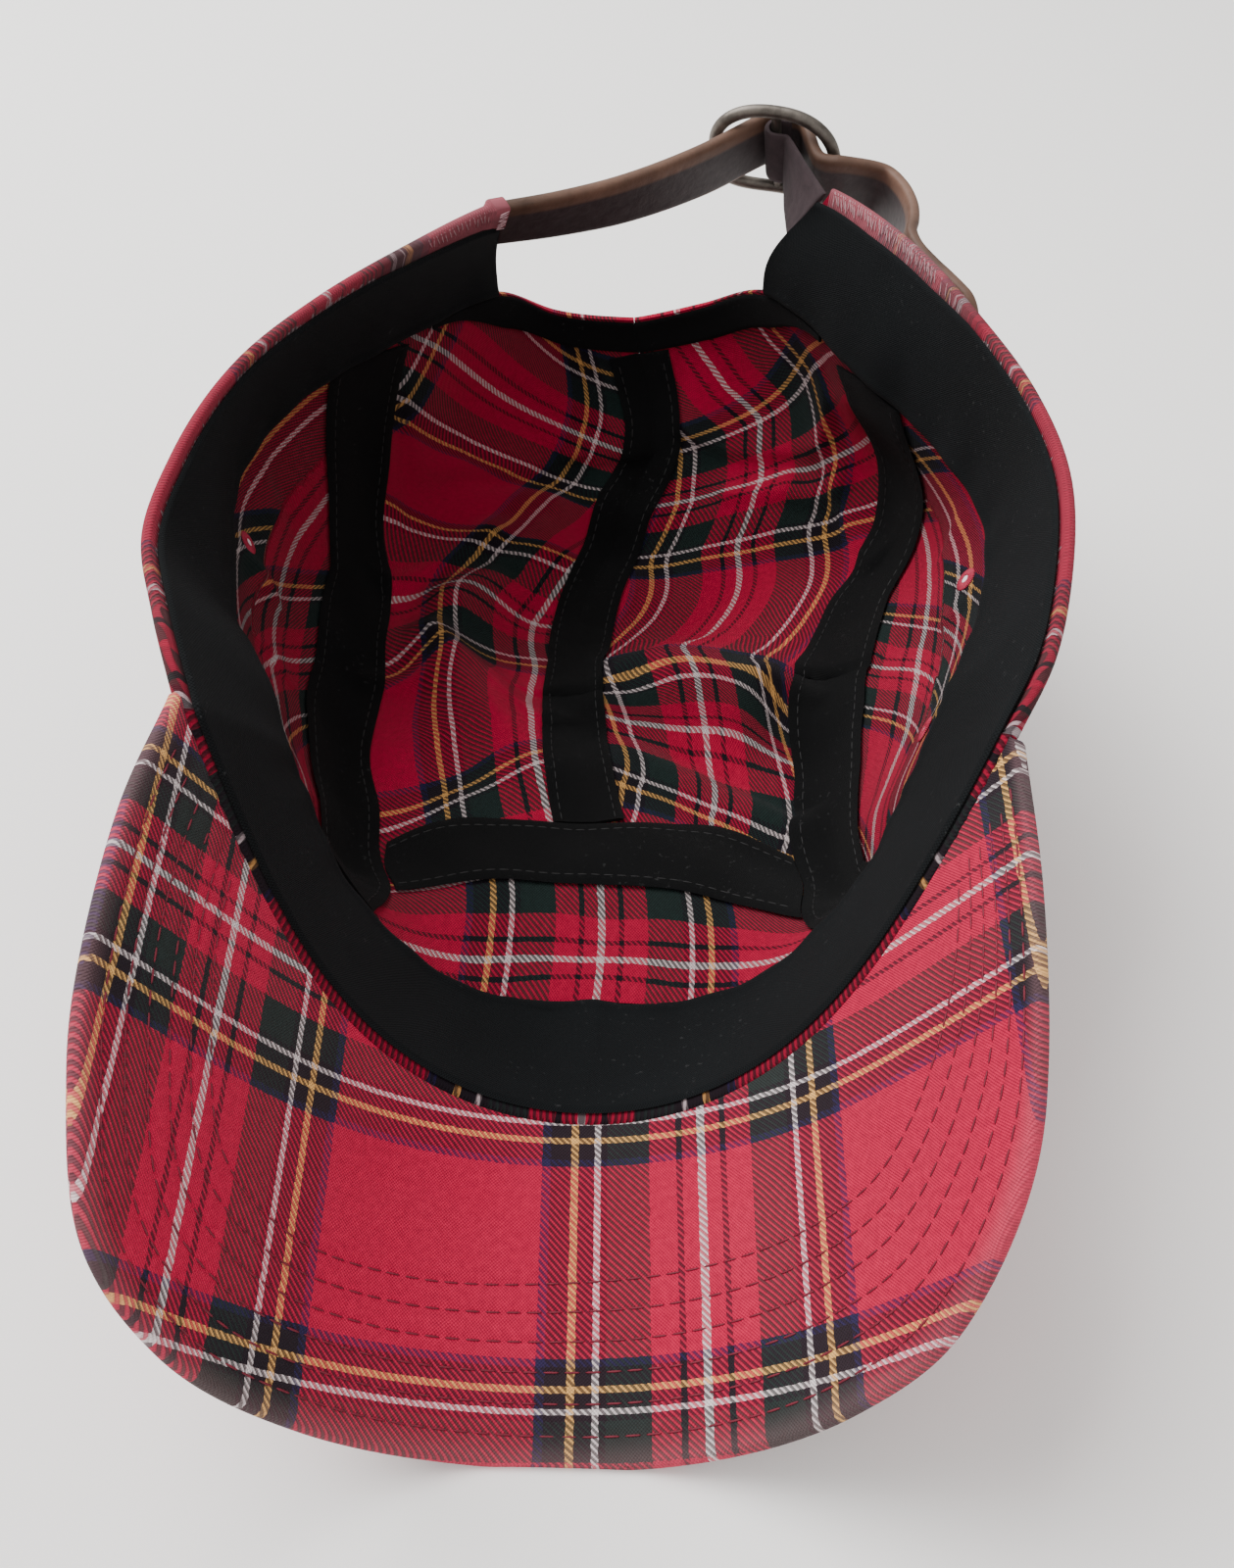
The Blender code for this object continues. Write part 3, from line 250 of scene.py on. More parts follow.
# Half of the repeat: where each band of colour begins, as a share of the whole repeat
BANDS = (
    (0.000, "white"), (0.0060, "red"), (0.037, "black"), (0.047, "red"), (0.098, "green"),
    (0.176, "black"), (0.188, "white"), (0.200, "black"), (0.229, "yellow"), (0.243, "black"),
    (0.281, "blue"), (0.295, "red"),
)
YARNS = {
    "white": (0.76, 0.68, 0.68), "red": (0.53, 0.003, 0.050), "black": (0.006, 0.006, 0.011),
    "green": (0.007, 0.024, 0.021), "yellow": (0.80, 0.44, 0.13), "blue": (0.012, 0.012, 0.060),
}
TWILL_PITCH = 0.00115    # of the slanting rows, across the cloth
TOP_YARN = 0.66          # how much more the yarn on top shows
UNDER_YARN = 0.17        # how much the yarn below shows
YARN_WANDER = 0.0022     # unevenness of the rows in metres, and of the bands in repeats
YARN_SHAKE = 0.006
FADED = (0.55, 0.30, 0.32)
RUBBED_FADING = 0.12
LINT_GREY = (0.42, 0.42, 0.42)
METAL_TONES = (
    (0.35, (0.07, 0.060, 0.052)), (0.55, (0.15, 0.132, 0.115)), (0.72, (0.25, 0.22, 0.19)),
)

# Where the cloth of each crown half lies: place on the disc (plus to the back), place
# across of the thread line that starts the count, and the count along the cloth
LEFT_CLOTH = (
    (-0.50, -0.040, -0.08), (-0.283, -0.060, 0.195), (-0.148, -0.062, 0.42),
    (0.006, -0.085, 0.764), (0.17, -0.080, 1.00), (0.34, -0.050, 1.1945), (0.37, -0.042, 1.236),
    (0.492, 0.010, 1.764), (0.517, 0.020, 1.8055), (0.592, 0.025, 2.00), (0.80, 0.060, 2.42),
    (1.05, 0.060, 2.75),
)
RIGHT_CLOTH = (
    (-0.50, 0.150, -0.50), (-0.298, 0.168, -0.236), (-0.273, 0.175, -0.1945),
    (-0.133, 0.210, 0.00), (-0.085, 0.212, 0.1945), (-0.060, 0.210, 0.236),
    (0.113, 0.196, 0.36), (0.375, 0.178, 0.764), (0.402, 0.180, 0.8055), (0.49, 0.215, 0.99),
    (0.60, 0.225, 1.205), (0.66, 0.175, 1.34), (0.80, 0.130, 1.60), (1.05, 0.110, 1.85),
)

# Cloth of the front panel: count along for each unit of the disc, and where it starts
FRONT_COUNT = 0.968
FRONT_START = 0.696
# Cloth of the side panels, left then right: rise of the pleat, count for each degree along;
# then below and above the pleat the rise of a thread line, its count, and where along starts
SIDE_CLOTH = (
    (0.670, 0.0144, (0.605, 0.0, 143.5), (0.780, 0.236, 156.0)),
    (0.655, 0.0205, (0.600, 0.0, 147.5), (0.695, 0.190, 158.0)),
)
SIDE_SPREAD = 1.25       # count across for each unit of rise
SIDE_SLANT = 100.0       # degrees of turn that a whole rise is worth along the cloth
WEAVE_REACH = (0.085, 0.12)  # metres of plain weave for a radian of turn and a unit of rise

# Meshes: small steps, rows, and what is kept clear
PROBE = 1e-3
PEAK_PROBE = 5e-4
TINY = 1e-6
STEPS = 6
FRONT_CORNERS = 60
EAR_CORNERS = 28
CROWN_ROWS = 96
EAR_ROWS = 30
REAR_COLUMNS = 26
ARCH_COLUMNS = 50
FRONT_COLUMNS = 150
SIDE_ROWS = 70
PEAK_GRID = (110, 300)
BAND_GRID = (44, 620)
TAPE_GRID = (17, 190)
FACING_GRID = (14, 90)
STRAP_POINTS = 420
TAB_POINTS = 120
ROLL_POINTS = 700
CURVE_POINTS = 2400
FRAME_POINTS = 160
SEAM_STRETCHES = (
    (0.0, SEAM_CORNER, FRONT_CORNERS), (SEAM_CORNER, 0.77, 130), (0.77, SEAM_AT_BAND, 36),
    (SEAM_AT_BAND, 1.0, EAR_CORNERS),
)
SEAM_KEEP = 0.0003       # kept clear on the disc at the centre seam
RIM_INSET = 0.05         # turn kept clear at the ends of the side panels
AT_RIM = 0.999           # rise from where a place counts as on the rim
SEAM_TOP = 0.9995        # highest rise of a side panel's edge along the seam

# Peak: rows of stitches in from the edge, quilting, rolled edge and wear
PEAK_ROWS = (0.0045, 0.0093, 0.0141, 0.0189, 0.0237, 0.0285)
BAND_CLEAR = 0.0045      # from the join to the ends of the stitch rows
QUILT_WIDTH = 0.0007
QUILT_DENTS = (0.00016, 0.00010)
QUILT_ENDS = 0.03        # share of the width over which the quilting fades at each side
PEAK_CROWDING = 0.9      # below 1, rows lie closer towards the outer edge
PEAK_EDGE_ROLL = 0.0016
PEAK_EDGE_THIN = 0.25
PEAK_FOOT = 0.0012       # lowest place of the upper side
PEAK_WEAR = 0.0030
SETT_TURN = -0.0324      # how the plaid lies on the peak: turned, started, squashed
SETT_START = (-0.2264, 0.1945)
SETT_SQUASH = 0.8355

# Stitches: length, gap and lift; then their outline, as place and share of the radius
PEAK_STITCH = (0.0024, 0.0009, -0.00008)
TAPE_STITCH = (0.0020, 0.0007, LAY_GAP + TAPE_THICK)
TAPE_ROWS = (2, 14)      # rows of the tape's mesh that its stitches follow
PEAK_THREAD = 0.00018
TAPE_THREAD = 0.00016
EYELET_THREAD = 0.00022
WHIP_THREAD = 0.00013
STITCH_SHAPE = ((0.0, 0.25), (0.14, 0.85), (0.5, 1.0), (0.86, 0.85), (1.0, 0.25))
EYELET_STITCHES = 40
HOLE_RADIUS = 0.0009
EYELET_RADIUS = 0.0027
EYELET_SLANT = 0.05
EYELET_LIFT = 0.0005
EYELET_SINK = 0.0003
LIGHT_LIFT = 0.0004      # of the pale spot that shows through the hole
LIGHT_RADIUS = 0.0010

BAND_LAP = 0.7           # turn of the sweatband past the ends of the rim
BINDING_TAIL = 9.0       # turn from the arch's corner to the end of the facing
BINDING_END = 0.2        # share of its width there
BAND_WAVE = 0.00035      # unevenness of the sweatband, and the waves in a radian of turn
BAND_WAVES = (31, 13)
BAND_FOLD = 0.0003       # ridge of its turned edge: height, width, place in widths
BAND_FOLD_WIDTH = 0.0012
BAND_FOLD_PLACE = 1.6
# How far the sweatband sits below the rim: turn, drop
BAND_DROPS = (
    (-150, 0.0056), (-141, 0.0040), (-130, 0.0022), (-110, 0.0015), (-50, 0.0012), (0, 0.0012),
    (118, 0.0012), (127, 0.0028), (140, 0.0034), (150, 0.0030),
)

# Folded edge of the cloth on the rim: how far out from the bowl and how far up
ROLL = (
    (-0.00030, -0.0058), (-0.00035, -0.0030), (-0.00040, -0.0001), (-0.0001, 0.0003),
    (0.0005, 0.0005), (0.0012, 0.0003), (0.0016, -0.0001), (0.0016, -0.0010), (0.0014, -0.0024),
)
ROLL_MIDDLE = 0.0004     # points farther out than this are on its outer side
ROLL_COUNT = 0.003       # count along the cloth from one row to the next
ROLL_REACH = 0.088       # metres of cloth along the rim for a radian of turn
# Where the roll closes over the start of the strap: how much wider inside and outside
WRAP = (0.0005, 0.0011)
WRAP_STEPS = (0.0030, 0.0024, 0.0018, 0.0012, 0.0006)
WRAP_TURNS = (1.4, 0.2)  # how far before the rim's end the roll starts and ends widening
# Cloth that shows on the roll: turn, count along the cloth, how rubbed it is
ROLL_CLOTH = (
    (-150, 0.33, 4.5), (-139, 0.33, 3.5), (-134, 0.17, 2.4), (-130, 0.004, 1.6),
    (-70, 0.004, 1.0), (-60, 0.215, 0.0), (60, 0.215, 0.0), (70, 0.004, 0.8),
    (116, 0.004, 1.2), (126, 0.30, 3.5), (150, 0.34, 4.5),
)
# Whipped stitches over the rim: first and last turn, how many, how long
WHIPS = ((-149.0, -139.0, 16, 0.0030), (127.0, 149.0, 46, 0.0026), (121.0, 125.5, 5, 0.0034))
WHIP_SWAY = 0.12         # turn by which they stray
WHIP_SLIPS = (0.2, 0.9)  # how far they slant along the rim, in WHIP_SLIP
WHIP_SLIP = 0.001
WHIP_SIZES = (0.5, 1.1)  # shares of their length
WHIP_FOOT = 0.0006       # off the bowl at the lower end, then at the upper end, and above it
WHIP_HEAD = 0.0002
WHIP_TOP = 0.0004
# Stitches over the strap's start: drops, off the bowl, along the strap, stray, reach each way
START_DROPS = (0.0004, 0.0054, 9)
START_OFF = 0.0012
START_PLACE = 0.0024
START_STRAY = 0.0004
START_REACH = (0.0010, 0.0014)

FLOOR_COLOUR = (0.95, 0.935, 0.915, 1.0)
FLOOR_HALF = 4.0
ROOM_COLOUR = (0.98, 0.97, 0.96, 1.0)
ROOM_STRENGTH = 0.93
# Lamps: name, place, power, size
LAMPS = (("window", (-0.70, 0.40, 1.10), 32.0, 1.1), ("fill", (0.25, -0.9, 0.9), 3.0, 0.9))
CAMERA_LENS = 33.75
CAMERA_PLACE = (0.01605, -0.2044, 0.230)
CAMERA_LOOK = (-0.0506, 0.7053, -0.7071)


def reading(places, at):
    """Which gap between the places each value is in, how long it is, and how far along."""
    i = np.clip(np.searchsorted(places, at, side="right") - 1, 0, len(places) - 2)
    step = places[i + 1] - places[i]
    return i, step[..., None], ((at - places[i]) / step)[..., None]


def cubic(t, step, first, last, leave, arrive):
    """Smooth curve from one value to the next, with its slopes at both."""
    return ((1 + 2 * t) * (1 - t) ** 2 * first + t * (1 - t) ** 2 * step * leave
            + t ** 2 * (3 - 2 * t) * last + t ** 2 * (t - 1) * step * arrive)


def smooth(rows, at):
    """Values of the smooth curve through the rows, whose first column is the place."""
    rows = np.asarray(rows, float)
    place, value = rows[:, 0], rows[:, 1:]
    slope = np.gradient(value, place, axis=0)
    i, step, t = reading(place, np.clip(np.asarray(at, float), place[0], place[-1]))
    return cubic(t, step, value[i], value[i + 1], slope[i], slope[i + 1])


def straight(rows, at):
    """Values of the straight lines between the rows."""
    rows = np.asarray(rows, float)
    return [np.interp(at, rows[:, 0], column) for column in rows[:, 1:].T]


def ramp(x, low, high):
    """Smooth step from 0 at `low` to 1 at `high`."""
    t = np.clip((x - low) / (high - low), 0, 1)
    return t * t * (3 - 2 * t)


def unit(vectors):
    """The vectors at length one."""
    return vectors / np.linalg.norm(vectors, axis=-1, keepdims=True)


def spin(a, b, angle):
    """Both coordinates turned by an angle."""
    return (math.cos(angle) * a - math.sin(angle) * b, math.sin(angle) * a + math.cos(angle) * b)


def lengths(points):
    """Length of a line up to each of its points."""
    steps = np.linalg.norm(np.diff(points, axis=0), axis=1)
    return np.concatenate([[0.0], np.cumsum(steps)])


def bend_profile():
    """The peak's section: places across the flat cloth, and their x and z once bent."""
    half = np.linspace(0.0, 1.1 * PEAK_HALF_WIDTH, 400)
    step = half[1] - half[0]

    def summed(values):
        return np.concatenate([[0.0], np.cumsum((values[1:] + values[:-1]) * step / 2)])

    sides = []
    for side in (-1, 1):
        ease = half / BEND_SPAN
        curve = (1 + PEAK_BEND_SKEW * side * ease - PEAK_BEND_LOSS * ease ** 2) / PEAK_BEND_RADIUS
        angle = summed(np.maximum(curve, 0.0))
        sides.append((side * half, side * summed(np.cos(angle)), summed(np.sin(angle))))
    left, right = sides
    return [np.concatenate([a[:0:-1], b]) for a, b in zip(left, right)]


PROFILE = bend_profile()


def on_peak(across, forward):
    """Point on the upper side of the peak from its place on the flat pattern."""
    x = np.interp(across, PROFILE[0], PROFILE[1])
    z = np.interp(across, PROFILE[0], PROFILE[2])
    x, z = spin(x, z, PEAK_ROLL)
    y, z = spin(-forward, z, PEAK_TILT)
    x, y = spin(x, y, PEAK_YAW)
    return np.stack([x, y - FRONT_DEPTH, z + JOIN_HEIGHT], -1)


def join_flat(turn):
    """Flat place of the join between peak and rim at a turn."""
    across = JOIN_HALF * np.asarray(turn, float) / PEAK_TURN
    return across, -JOIN_SAG * (across / JOIN_HALF) ** 2


def rim(turn):
    """Point on the rim."""
    turn = np.asarray(turn, float)
    out = np.empty(turn.shape + (3,))
    corners = on_peak(*join_flat(np.array([-PEAK_TURN, PEAK_TURN])))
    start = corners[:, 1].mean()
    for sign, first, corner in ((-1, 1, corners[0]), (1, 4, corners[1])):
        rows = [(PEAK_TURN, *corner)]
        for row in RIM:
            share = row[first:first + 3]
            rows.append((row[0], sign * share[0] * RIM_HALF_WIDTH,
                         start + share[1] * RIM_LENGTH, share[2] * RIM_HEIGHT))
        here = (turn < 0) == (sign < 0)
        out[here] = smooth(rows, np.abs(turn[here]))
    front = np.abs(turn) < PEAK_TURN
    out[front] = on_peak(*join_flat(turn[front]))
    return out


def ring(table, turn):
    """Point on a ring of the bowl."""
    rows = smooth(table, np.abs(turn))
    out = np.where(turn < 0, -rows[..., 0], rows[..., 1])
    return np.stack([out, rows[..., 2], rows[..., 3]], -1) * CROWN_SIZE


def fold_height(x, y, folds):
    """How far the folds lift the crown cloth."""
    lift = np.zeros_like(x)
    for x0, y0, x1, y1, height, near, far in folds:
        start = np.array([x0, y0]) * CROWN_SIZE[:2]
        run = np.array([x1, y1]) * CROWN_SIZE[:2] - start
        along = np.clip(((x - start[0]) * run[0] + (y - start[1]) * run[1]) / (run @ run), 0, 1)
        dx = x - start[0] - along * run[0]
        dy = y - start[1] - along * run[1]
        half = near + (far - near) * ramp(dy, -FOLD_BLEND, FOLD_BLEND)
        lift += height * CROWN_DEPTH * np.exp(-(np.hypot(dx, dy) / (half * CROWN_LENGTH)) ** 2)
    return lift


def on_bowl(turn, rise, folds=1.0):
    """Point on the inside of the crown, from a turn and a rise."""
    turn, rise = np.broadcast_arrays(np.asarray(turn, float), np.asarray(rise, float))
    left = (turn < 0)[..., None]
    top = rim(turn)
    lean = smooth(BAND_LEAN, np.abs(turn)) * BAND_WIDTH
    band = top + np.where(left, lean[..., :3] * (1, 1, -1), lean[..., 3:] * (-1, 1, -1))
    middle = np.array(CROWN_MIDDLE) * CROWN_SIZE
    rings = np.stack([np.broadcast_to(middle, top.shape), ring(FLOOR_RING, turn),
                      ring(FOOT_RING, turn), ring(MID_RING, turn), band, top])
    rises = np.array(RING_RISES)
    slope = np.gradient(rings, rises, axis=0)
    i, step, t = reading(rises, rise)

    def pick(values, index):
        return np.take_along_axis(values, index[None, ..., None], axis=0)[0]

    point = cubic(t, step, pick(rings, i), pick(rings, i + 1), pick(slope, i), pick(slope, i + 1))
    xi, eta = disc(turn, rise)
    soft = ramp(BAND_RISE - rise, 0, BAND_RISE - FOOT_RISE)
    calm = np.exp(-(xi / CALM_REACH) ** 2) + np.exp(-((rise - FOOT_RISE) / CALM_REACH) ** 2)
    soft = soft * (1 - FOLD_CALM * np.clip(calm, 0, 1))
    reach = np.exp(-(point[..., 0] / (DRIFT_REACH * CROWN_HALF_WIDTH)) ** 2)
    reach = reach * np.clip((1 - rise) / (1 - BAND_RISE), 0, 1)
    point[..., 0] += smooth(DRIFT, eta)[..., 0] * CROWN_HALF_WIDTH * reach
    point[..., 2] += folds * soft * fold_height(point[..., 0], point[..., 1], FOLDS)
    lift = fold_height(point[..., 0], point[..., 1], CREASES)
    for across, along, start, height in RIPPLES:
        lift = lift + height * np.sin(across * point[..., 0] + along * point[..., 1] + start)
    lift = folds * ramp(BAND_RISE - rise, 0.0, CREASE_FADE) * lift
    inward = middle[:2] - point[..., :2]
    inward = inward / (np.linalg.norm(inward, axis=-1, keepdims=True) + TINY)
    steep = ramp(rise, *WALL_RISES)
    point[..., 2] += lift * np.sqrt(1 - WALL_FLATTENS * steep ** 2)
    point[..., :2] += inward * (lift * steep * WALL_PUSH)[..., None]
    point[..., 2] = np.maximum(point[..., 2], WALL)
    return point


def polar(xi, eta):
    """Turn and rise of a place on the disc that the bowl is drawn on."""
    return np.degrees(np.arctan2(xi, -eta)), np.hypot(xi, eta)


def disc(turn, rise):
    """Place on the disc of a turn and a rise."""
    angle = np.radians(turn)
    return np.sin(angle) * rise, -np.cos(angle) * rise


def changes(surface, x, y, step):
    """How a surface changes from a step before to a step after, both ways."""
    return (surface(x + step, y) - surface(x - step, y),
            surface(x, y + step) - surface(x, y - step))


def slopes(xi, eta):
    """The bowl's slopes along both directions of the disc, kept inside the rim."""
    turn, rise = polar(xi, eta)
    xi, eta = disc(turn, np.minimum(rise, 1.0 - 2 * PROBE))
    a, b = changes(lambda x, y: on_bowl(*polar(x, y)), xi, eta, PROBE)
    return a / (2 * PROBE), b / (2 * PROBE)


def peak_normal(across, forward):
    """Direction out of the lower side of the peak."""
    a, b = changes(on_peak, across, forward, PEAK_PROBE)
    normal = unit(np.cross(b, a))
    return np.where(normal[..., 2:] > 0.2, -normal, normal)


def bowl_normal(xi, eta):
    """Direction out of the crown, shared with the peak along the join."""
    a, b = slopes(xi, eta)
    normal = unit(np.cross(b, a))
    turn, rise = polar(xi, eta)
    shared = (rise > AT_RIM) & (np.abs(turn) <= PEAK_TURN)
    if np.any(shared):
        other = peak_normal(*join_flat(turn[shared]))
        flip = np.sign((normal[shared] * other).sum(-1, keepdims=True))
        normal[shared] = unit(normal[shared] + flip * other)
    return normal


def shifted(xi, eta, distance):
    """A line on the disc moved sideways in the bowl."""
    along = np.gradient(xi)[:, None], np.gradient(eta)[:, None]
    for _ in range(STEPS):
        a, b = slopes(xi, eta)
        ahead = unit(a * along[0] + b * along[1])
        normal = unit(np.cross(b, a))
        aside = np.cross(normal, ahead) * (distance * np.ones(len(xi)))[:, None] / STEPS
        aa, ab, bb, p, q = ((m * n).sum(-1) for m, n in
                            ((a, a), (a, b), (b, b), (a, aside), (b, aside)))
        size = aa * bb - ab * ab
        xi = xi + (bb * p - ab * q) / size
        eta = eta + (aa * q - ab * p) / size
    return xi, eta


def trim(turn, rise, inset):
    """Rise brought in by a real distance along the bowl."""
    rise = rise + 0.0 * turn
    for _ in range(STEPS):
        near = on_bowl(turn, rise) - on_bowl(turn, rise - PROBE)
        rise = rise - inset / STEPS * PROBE / np.linalg.norm(near, axis=-1)
    return rise


def seam_path(places):
    """Disc places along the right side seam."""
    row = smooth(SIDE_SEAM, places)
    return disc(row[..., 0], row[..., 1])


def measure_across():
    """Length across at each place of a grid over the disc, on the bowl without folds."""
    turn, rise = polar(*np.meshgrid(ACROSS_GRID, ACROSS_GRID))
    point = on_bowl(turn, np.minimum(rise, 1.0), folds=0.0)
    step = np.linalg.norm(np.diff(point, axis=1), axis=-1)
    length = np.concatenate([np.zeros((len(ACROSS_GRID), 1)), np.cumsum(step, axis=1)], axis=1)
    middle = len(ACROSS_GRID) // 2
    return length - length[:, middle:middle + 1]


ACROSS_GRID = np.linspace(-1.1, 1.1, 221)
ACROSS = measure_across()


def across_cloth(xi, eta):
    """Length of the cloth across, from the middle line, at any places on the disc."""
    cell = ACROSS_GRID[1] - ACROSS_GRID[0]
    fx, fy = (np.clip((v - ACROSS_GRID[0]) / cell, 0, len(ACROSS_GRID) - 1.001)
              for v in (xi, eta))
    i, j = fx.astype(int), fy.astype(int)
    u, v = fx - i, fy - j
    return ((1 - u) * (1 - v) * ACROSS[j, i] + u * (1 - v) * ACROSS[j, i + 1]
            + (1 - u) * v * ACROSS[j + 1, i] + u * v * ACROSS[j + 1, i + 1])


def crown_cloth(table):
    """Counts of the plaid over a crown half."""
    def count(xi, eta):
        line, along = straight(table, eta)
        return (across_cloth(xi, eta) - across_cloth(line, eta)) / SETT, along
    return count


def front_cloth(xi, eta):
    """Counts of the plaid over the front panel."""
    return across_cloth(xi, eta) / SETT, FRONT_COUNT * (eta + FRONT_START)


def side_cloth(xi, eta):
    """Counts of the plaid over a side panel."""
    turn, rise = polar(xi, eta)
    pleat, step, low, high = SIDE_CLOTH[0 if turn[0] < 0 else 1]
    line, first, start = np.where((rise > pleat)[:, None], high, low).T
    along = (np.abs(turn) + SIDE_SLANT * rise - start) * step
    return first + (rise - line) * SIDE_SPREAD, along


def plain_cloth(xi, eta):
    """Metres along the bowl, for the plain weaves of band and tapes."""
    turn, rise = polar(xi, eta)
    return np.radians(turn) * WEAVE_REACH[0], rise * WEAVE_REACH[1]


# Materials

class Nodes:
    """The shader nodes of one material or group, joined in plain words."""

    def __init__(self, tree):
        self.tree = tree

    def new(self, kind):
        """A new node."""
        return self.tree.nodes.new("ShaderNode" + kind)

    def feed(self, socket, value):
        """Link a socket, or set its number or colour."""
        if isinstance(value, bpy.types.NodeSocket):
            self.tree.links.new(value, socket)
        else:
            socket.default_value = (*value, 1.0) if isinstance(value, tuple) else value

    def math(self, operation, *values, clamp=False):
        """A sum, product or other operation."""
        node = self.new("Math")
        node.operation = operation
        node.use_clamp = clamp
        for socket, value in zip(node.inputs, values):
            self.feed(socket, value)
        return node.outputs[0]

    add = partialmethod(math, "ADD")
    less = partialmethod(math, "SUBTRACT")
    times = partialmethod(math, "MULTIPLY")
    divide = partialmethod(math, "DIVIDE")

    def mix(self, share, first, second, blend="MIX"):
        """A mix of two colours."""
        node = self.new("Mix")
        node.data_type = "RGBA"
        node.blend_type = blend
        for word, value in (("Factor_Float", share), ("A_Color", first), ("B_Color", second)):
            self.feed(next(s for s in node.inputs if s.identifier == word), value)
        return next(s for s in node.outputs if s.identifier == "Result_Color")

    def dimmed(self, colour, level):
        """A colour times a grey level."""
        return self.mix(1.0, colour, self.vector(level, level, level), "MULTIPLY")

    def ramp(self, at, stops, interpolation="LINEAR"):
        """A colour ramp: stops are (place, colour)."""
        node = self.new("ValToRGB")
        node.color_ramp.interpolation = interpolation
        elements = node.color_ramp.elements
        while len(elements) < len(stops):
            elements.new(1.0)
        for element, (place, colour) in zip(elements, stops):
            element.position = place
            element.color = (*colour, 1.0)
        self.feed(node.inputs["Fac"], at)
        return node.outputs["Color"]

    def noise(self, vector, scale, detail=2.0, rough=0.5):
        """Noise over a vector."""
        node = self.new("TexNoise")
        for word, value in (("Vector", vector), ("Scale", scale), ("Detail", detail),
                            ("Roughness", rough)):
            self.feed(node.inputs[word], value)
        return node.outputs["Fac"]

    def vector(self, *values):
        """A vector from its coordinates."""
        node = self.new("CombineXYZ")
        for socket, value in zip(node.inputs, values):
            self.feed(socket, value)
        return node.outputs[0]

    def place(self):
        """Place on the object, in metres."""
        return self.new("TexCoord").outputs["Object"]

    def group(self, tree, **inputs):
        """A node of a group, with its inputs fed."""
        node = self.new("Group")
        node.node_tree = tree
        for word, value in inputs.items():
            self.feed(node.inputs[word], value)
        return node.outputs

    def counts(self):
        """Counts of the cloth at the surface, from the mesh."""
        node = self.new("Attribute")
        node.attribute_name = "cloth"
        split = self.new("SeparateXYZ")
        self.feed(split.inputs[0], node.outputs["Vector"])
        return split.outputs


def new_group(name, inputs, outputs):
    """A new shader node group: its tree, nodes, input sockets and output sockets."""
    tree = bpy.data.node_groups.new(name, "ShaderNodeTree")
    for word, value in inputs:
        socket = tree.interface.new_socket(word, in_out="INPUT", socket_type="NodeSocketFloat")
        socket.default_value = value
    for word, kind in outputs:
        tree.interface.new_socket(word, in_out="OUTPUT", socket_type="NodeSocket" + kind)
    start, end = (tree.nodes.new("NodeGroup" + word) for word in ("Input", "Output"))
    return tree, Nodes(tree), start.outputs, end.inputs


def yarn_bands(n, count):
    """Colour of the yarn at a count of repeats."""
    half = n.math("ABSOLUTE", n.less(n.math("FRACT", n.add(count, 0.5)), 0.5))
    stops = [(2 * place, YARNS[colour]) for place, colour in BANDS]
    return n.ramp(n.times(half, 2.0), stops, "CONSTANT")


def twill_group():
    """Slanting rows of a twill: which yarn lies on top, and its height."""
    tree, n, given, made = new_group(
        "twill_rows",
        (("Across", 0.0), ("Along", 0.0), ("Pitch", TWILL_PITCH), ("Slant", 1.0)),
        (("On Top", "Float"), ("Height", "Float"), ("Yarn", "Float")))
    across, along, pitch = (given[word] for word in ("Across", "Along", "Pitch"))
    slant = n.times(along, given["Slant"])
    wave = n.math("SINE", n.times(n.divide(n.add(across, slant), pitch), 2 * math.pi))
    turn = n.math("SINE", n.times(n.divide(n.less(across, slant), pitch), 4 * math.pi))
    high = n.add(n.times(n.math("ABSOLUTE", wave), 0.75), n.times(turn, 0.25))
    spot = n.vector(n.divide(across, pitch), n.divide(along, pitch))
    n.feed(made["On Top"], n.add(n.times(wave, 2.2), 0.5, clamp=True))
    n.feed(made["Height"], high)
    n.feed(made["Yarn"], n.noise(spot, 0.9, 2.0, 0.7))
    return tree


def plaid_group(twill):
    """Plaid of two sets of banded yarns, woven as a twill."""
    tree, n, given, made = new_group(
        "plaid_twill",
        (("Across", 0.0), ("Along", 0.0), ("Slant", 1.0), ("Fading", 0.0)),
        (("Color", "Color"), ("Height", "Float")))
    wide = n.times(given["Across"], SETT)
    long = n.times(given["Along"], SETT_ALONG)
    wander = n.noise(n.vector(wide, long), 60.0, 1.0)
    wobble = n.times(n.less(wander, 0.5), YARN_WANDER)
    weave = n.group(twill, Across=n.add(wide, wobble), Along=long, Slant=given["Slant"])
    shake = n.times(n.less(weave["Yarn"], 0.5), YARN_SHAKE)
    warp, weft = (yarn_bands(n, n.add(given[word], shake)) for word in ("Across", "Along"))
    both = n.mix(n.add(n.times(weave["On Top"], TOP_YARN), UNDER_YARN), warp, weft)
    level = n.add(n.times(weave["Yarn"], 0.7), 0.62)
    # Raised twill floats painted lighter and the dips between them darker: painted shade of the
    # weave, times the yarns' random tone
    lit = n.times(level, n.add(n.times(weave["Height"], 0.30), 0.78))
    n.feed(made["Color"], n.mix(given["Fading"], n.dimmed(both, lit), FADED))
    n.feed(made["Height"], weave["Height"])
    return tree


def lint_group():
    """Small pale specks and fluff on dark cloth."""
    tree, n, given, made = new_group("lint", (("Amount", 0.5), ("Size", 900.0)),
                                     (("Mask", "Float"),))
    place = n.place()
    speck = n.times(n.less(n.noise(place, given["Size"], 3.0), 0.64), 9.0, clamp=True)
    patch = n.times(n.less(n.noise(place, 45.0), 0.44), 5.0, clamp=True)
    n.feed(made["Mask"], n.times(n.times(speck, patch), given["Amount"]))
    return tree


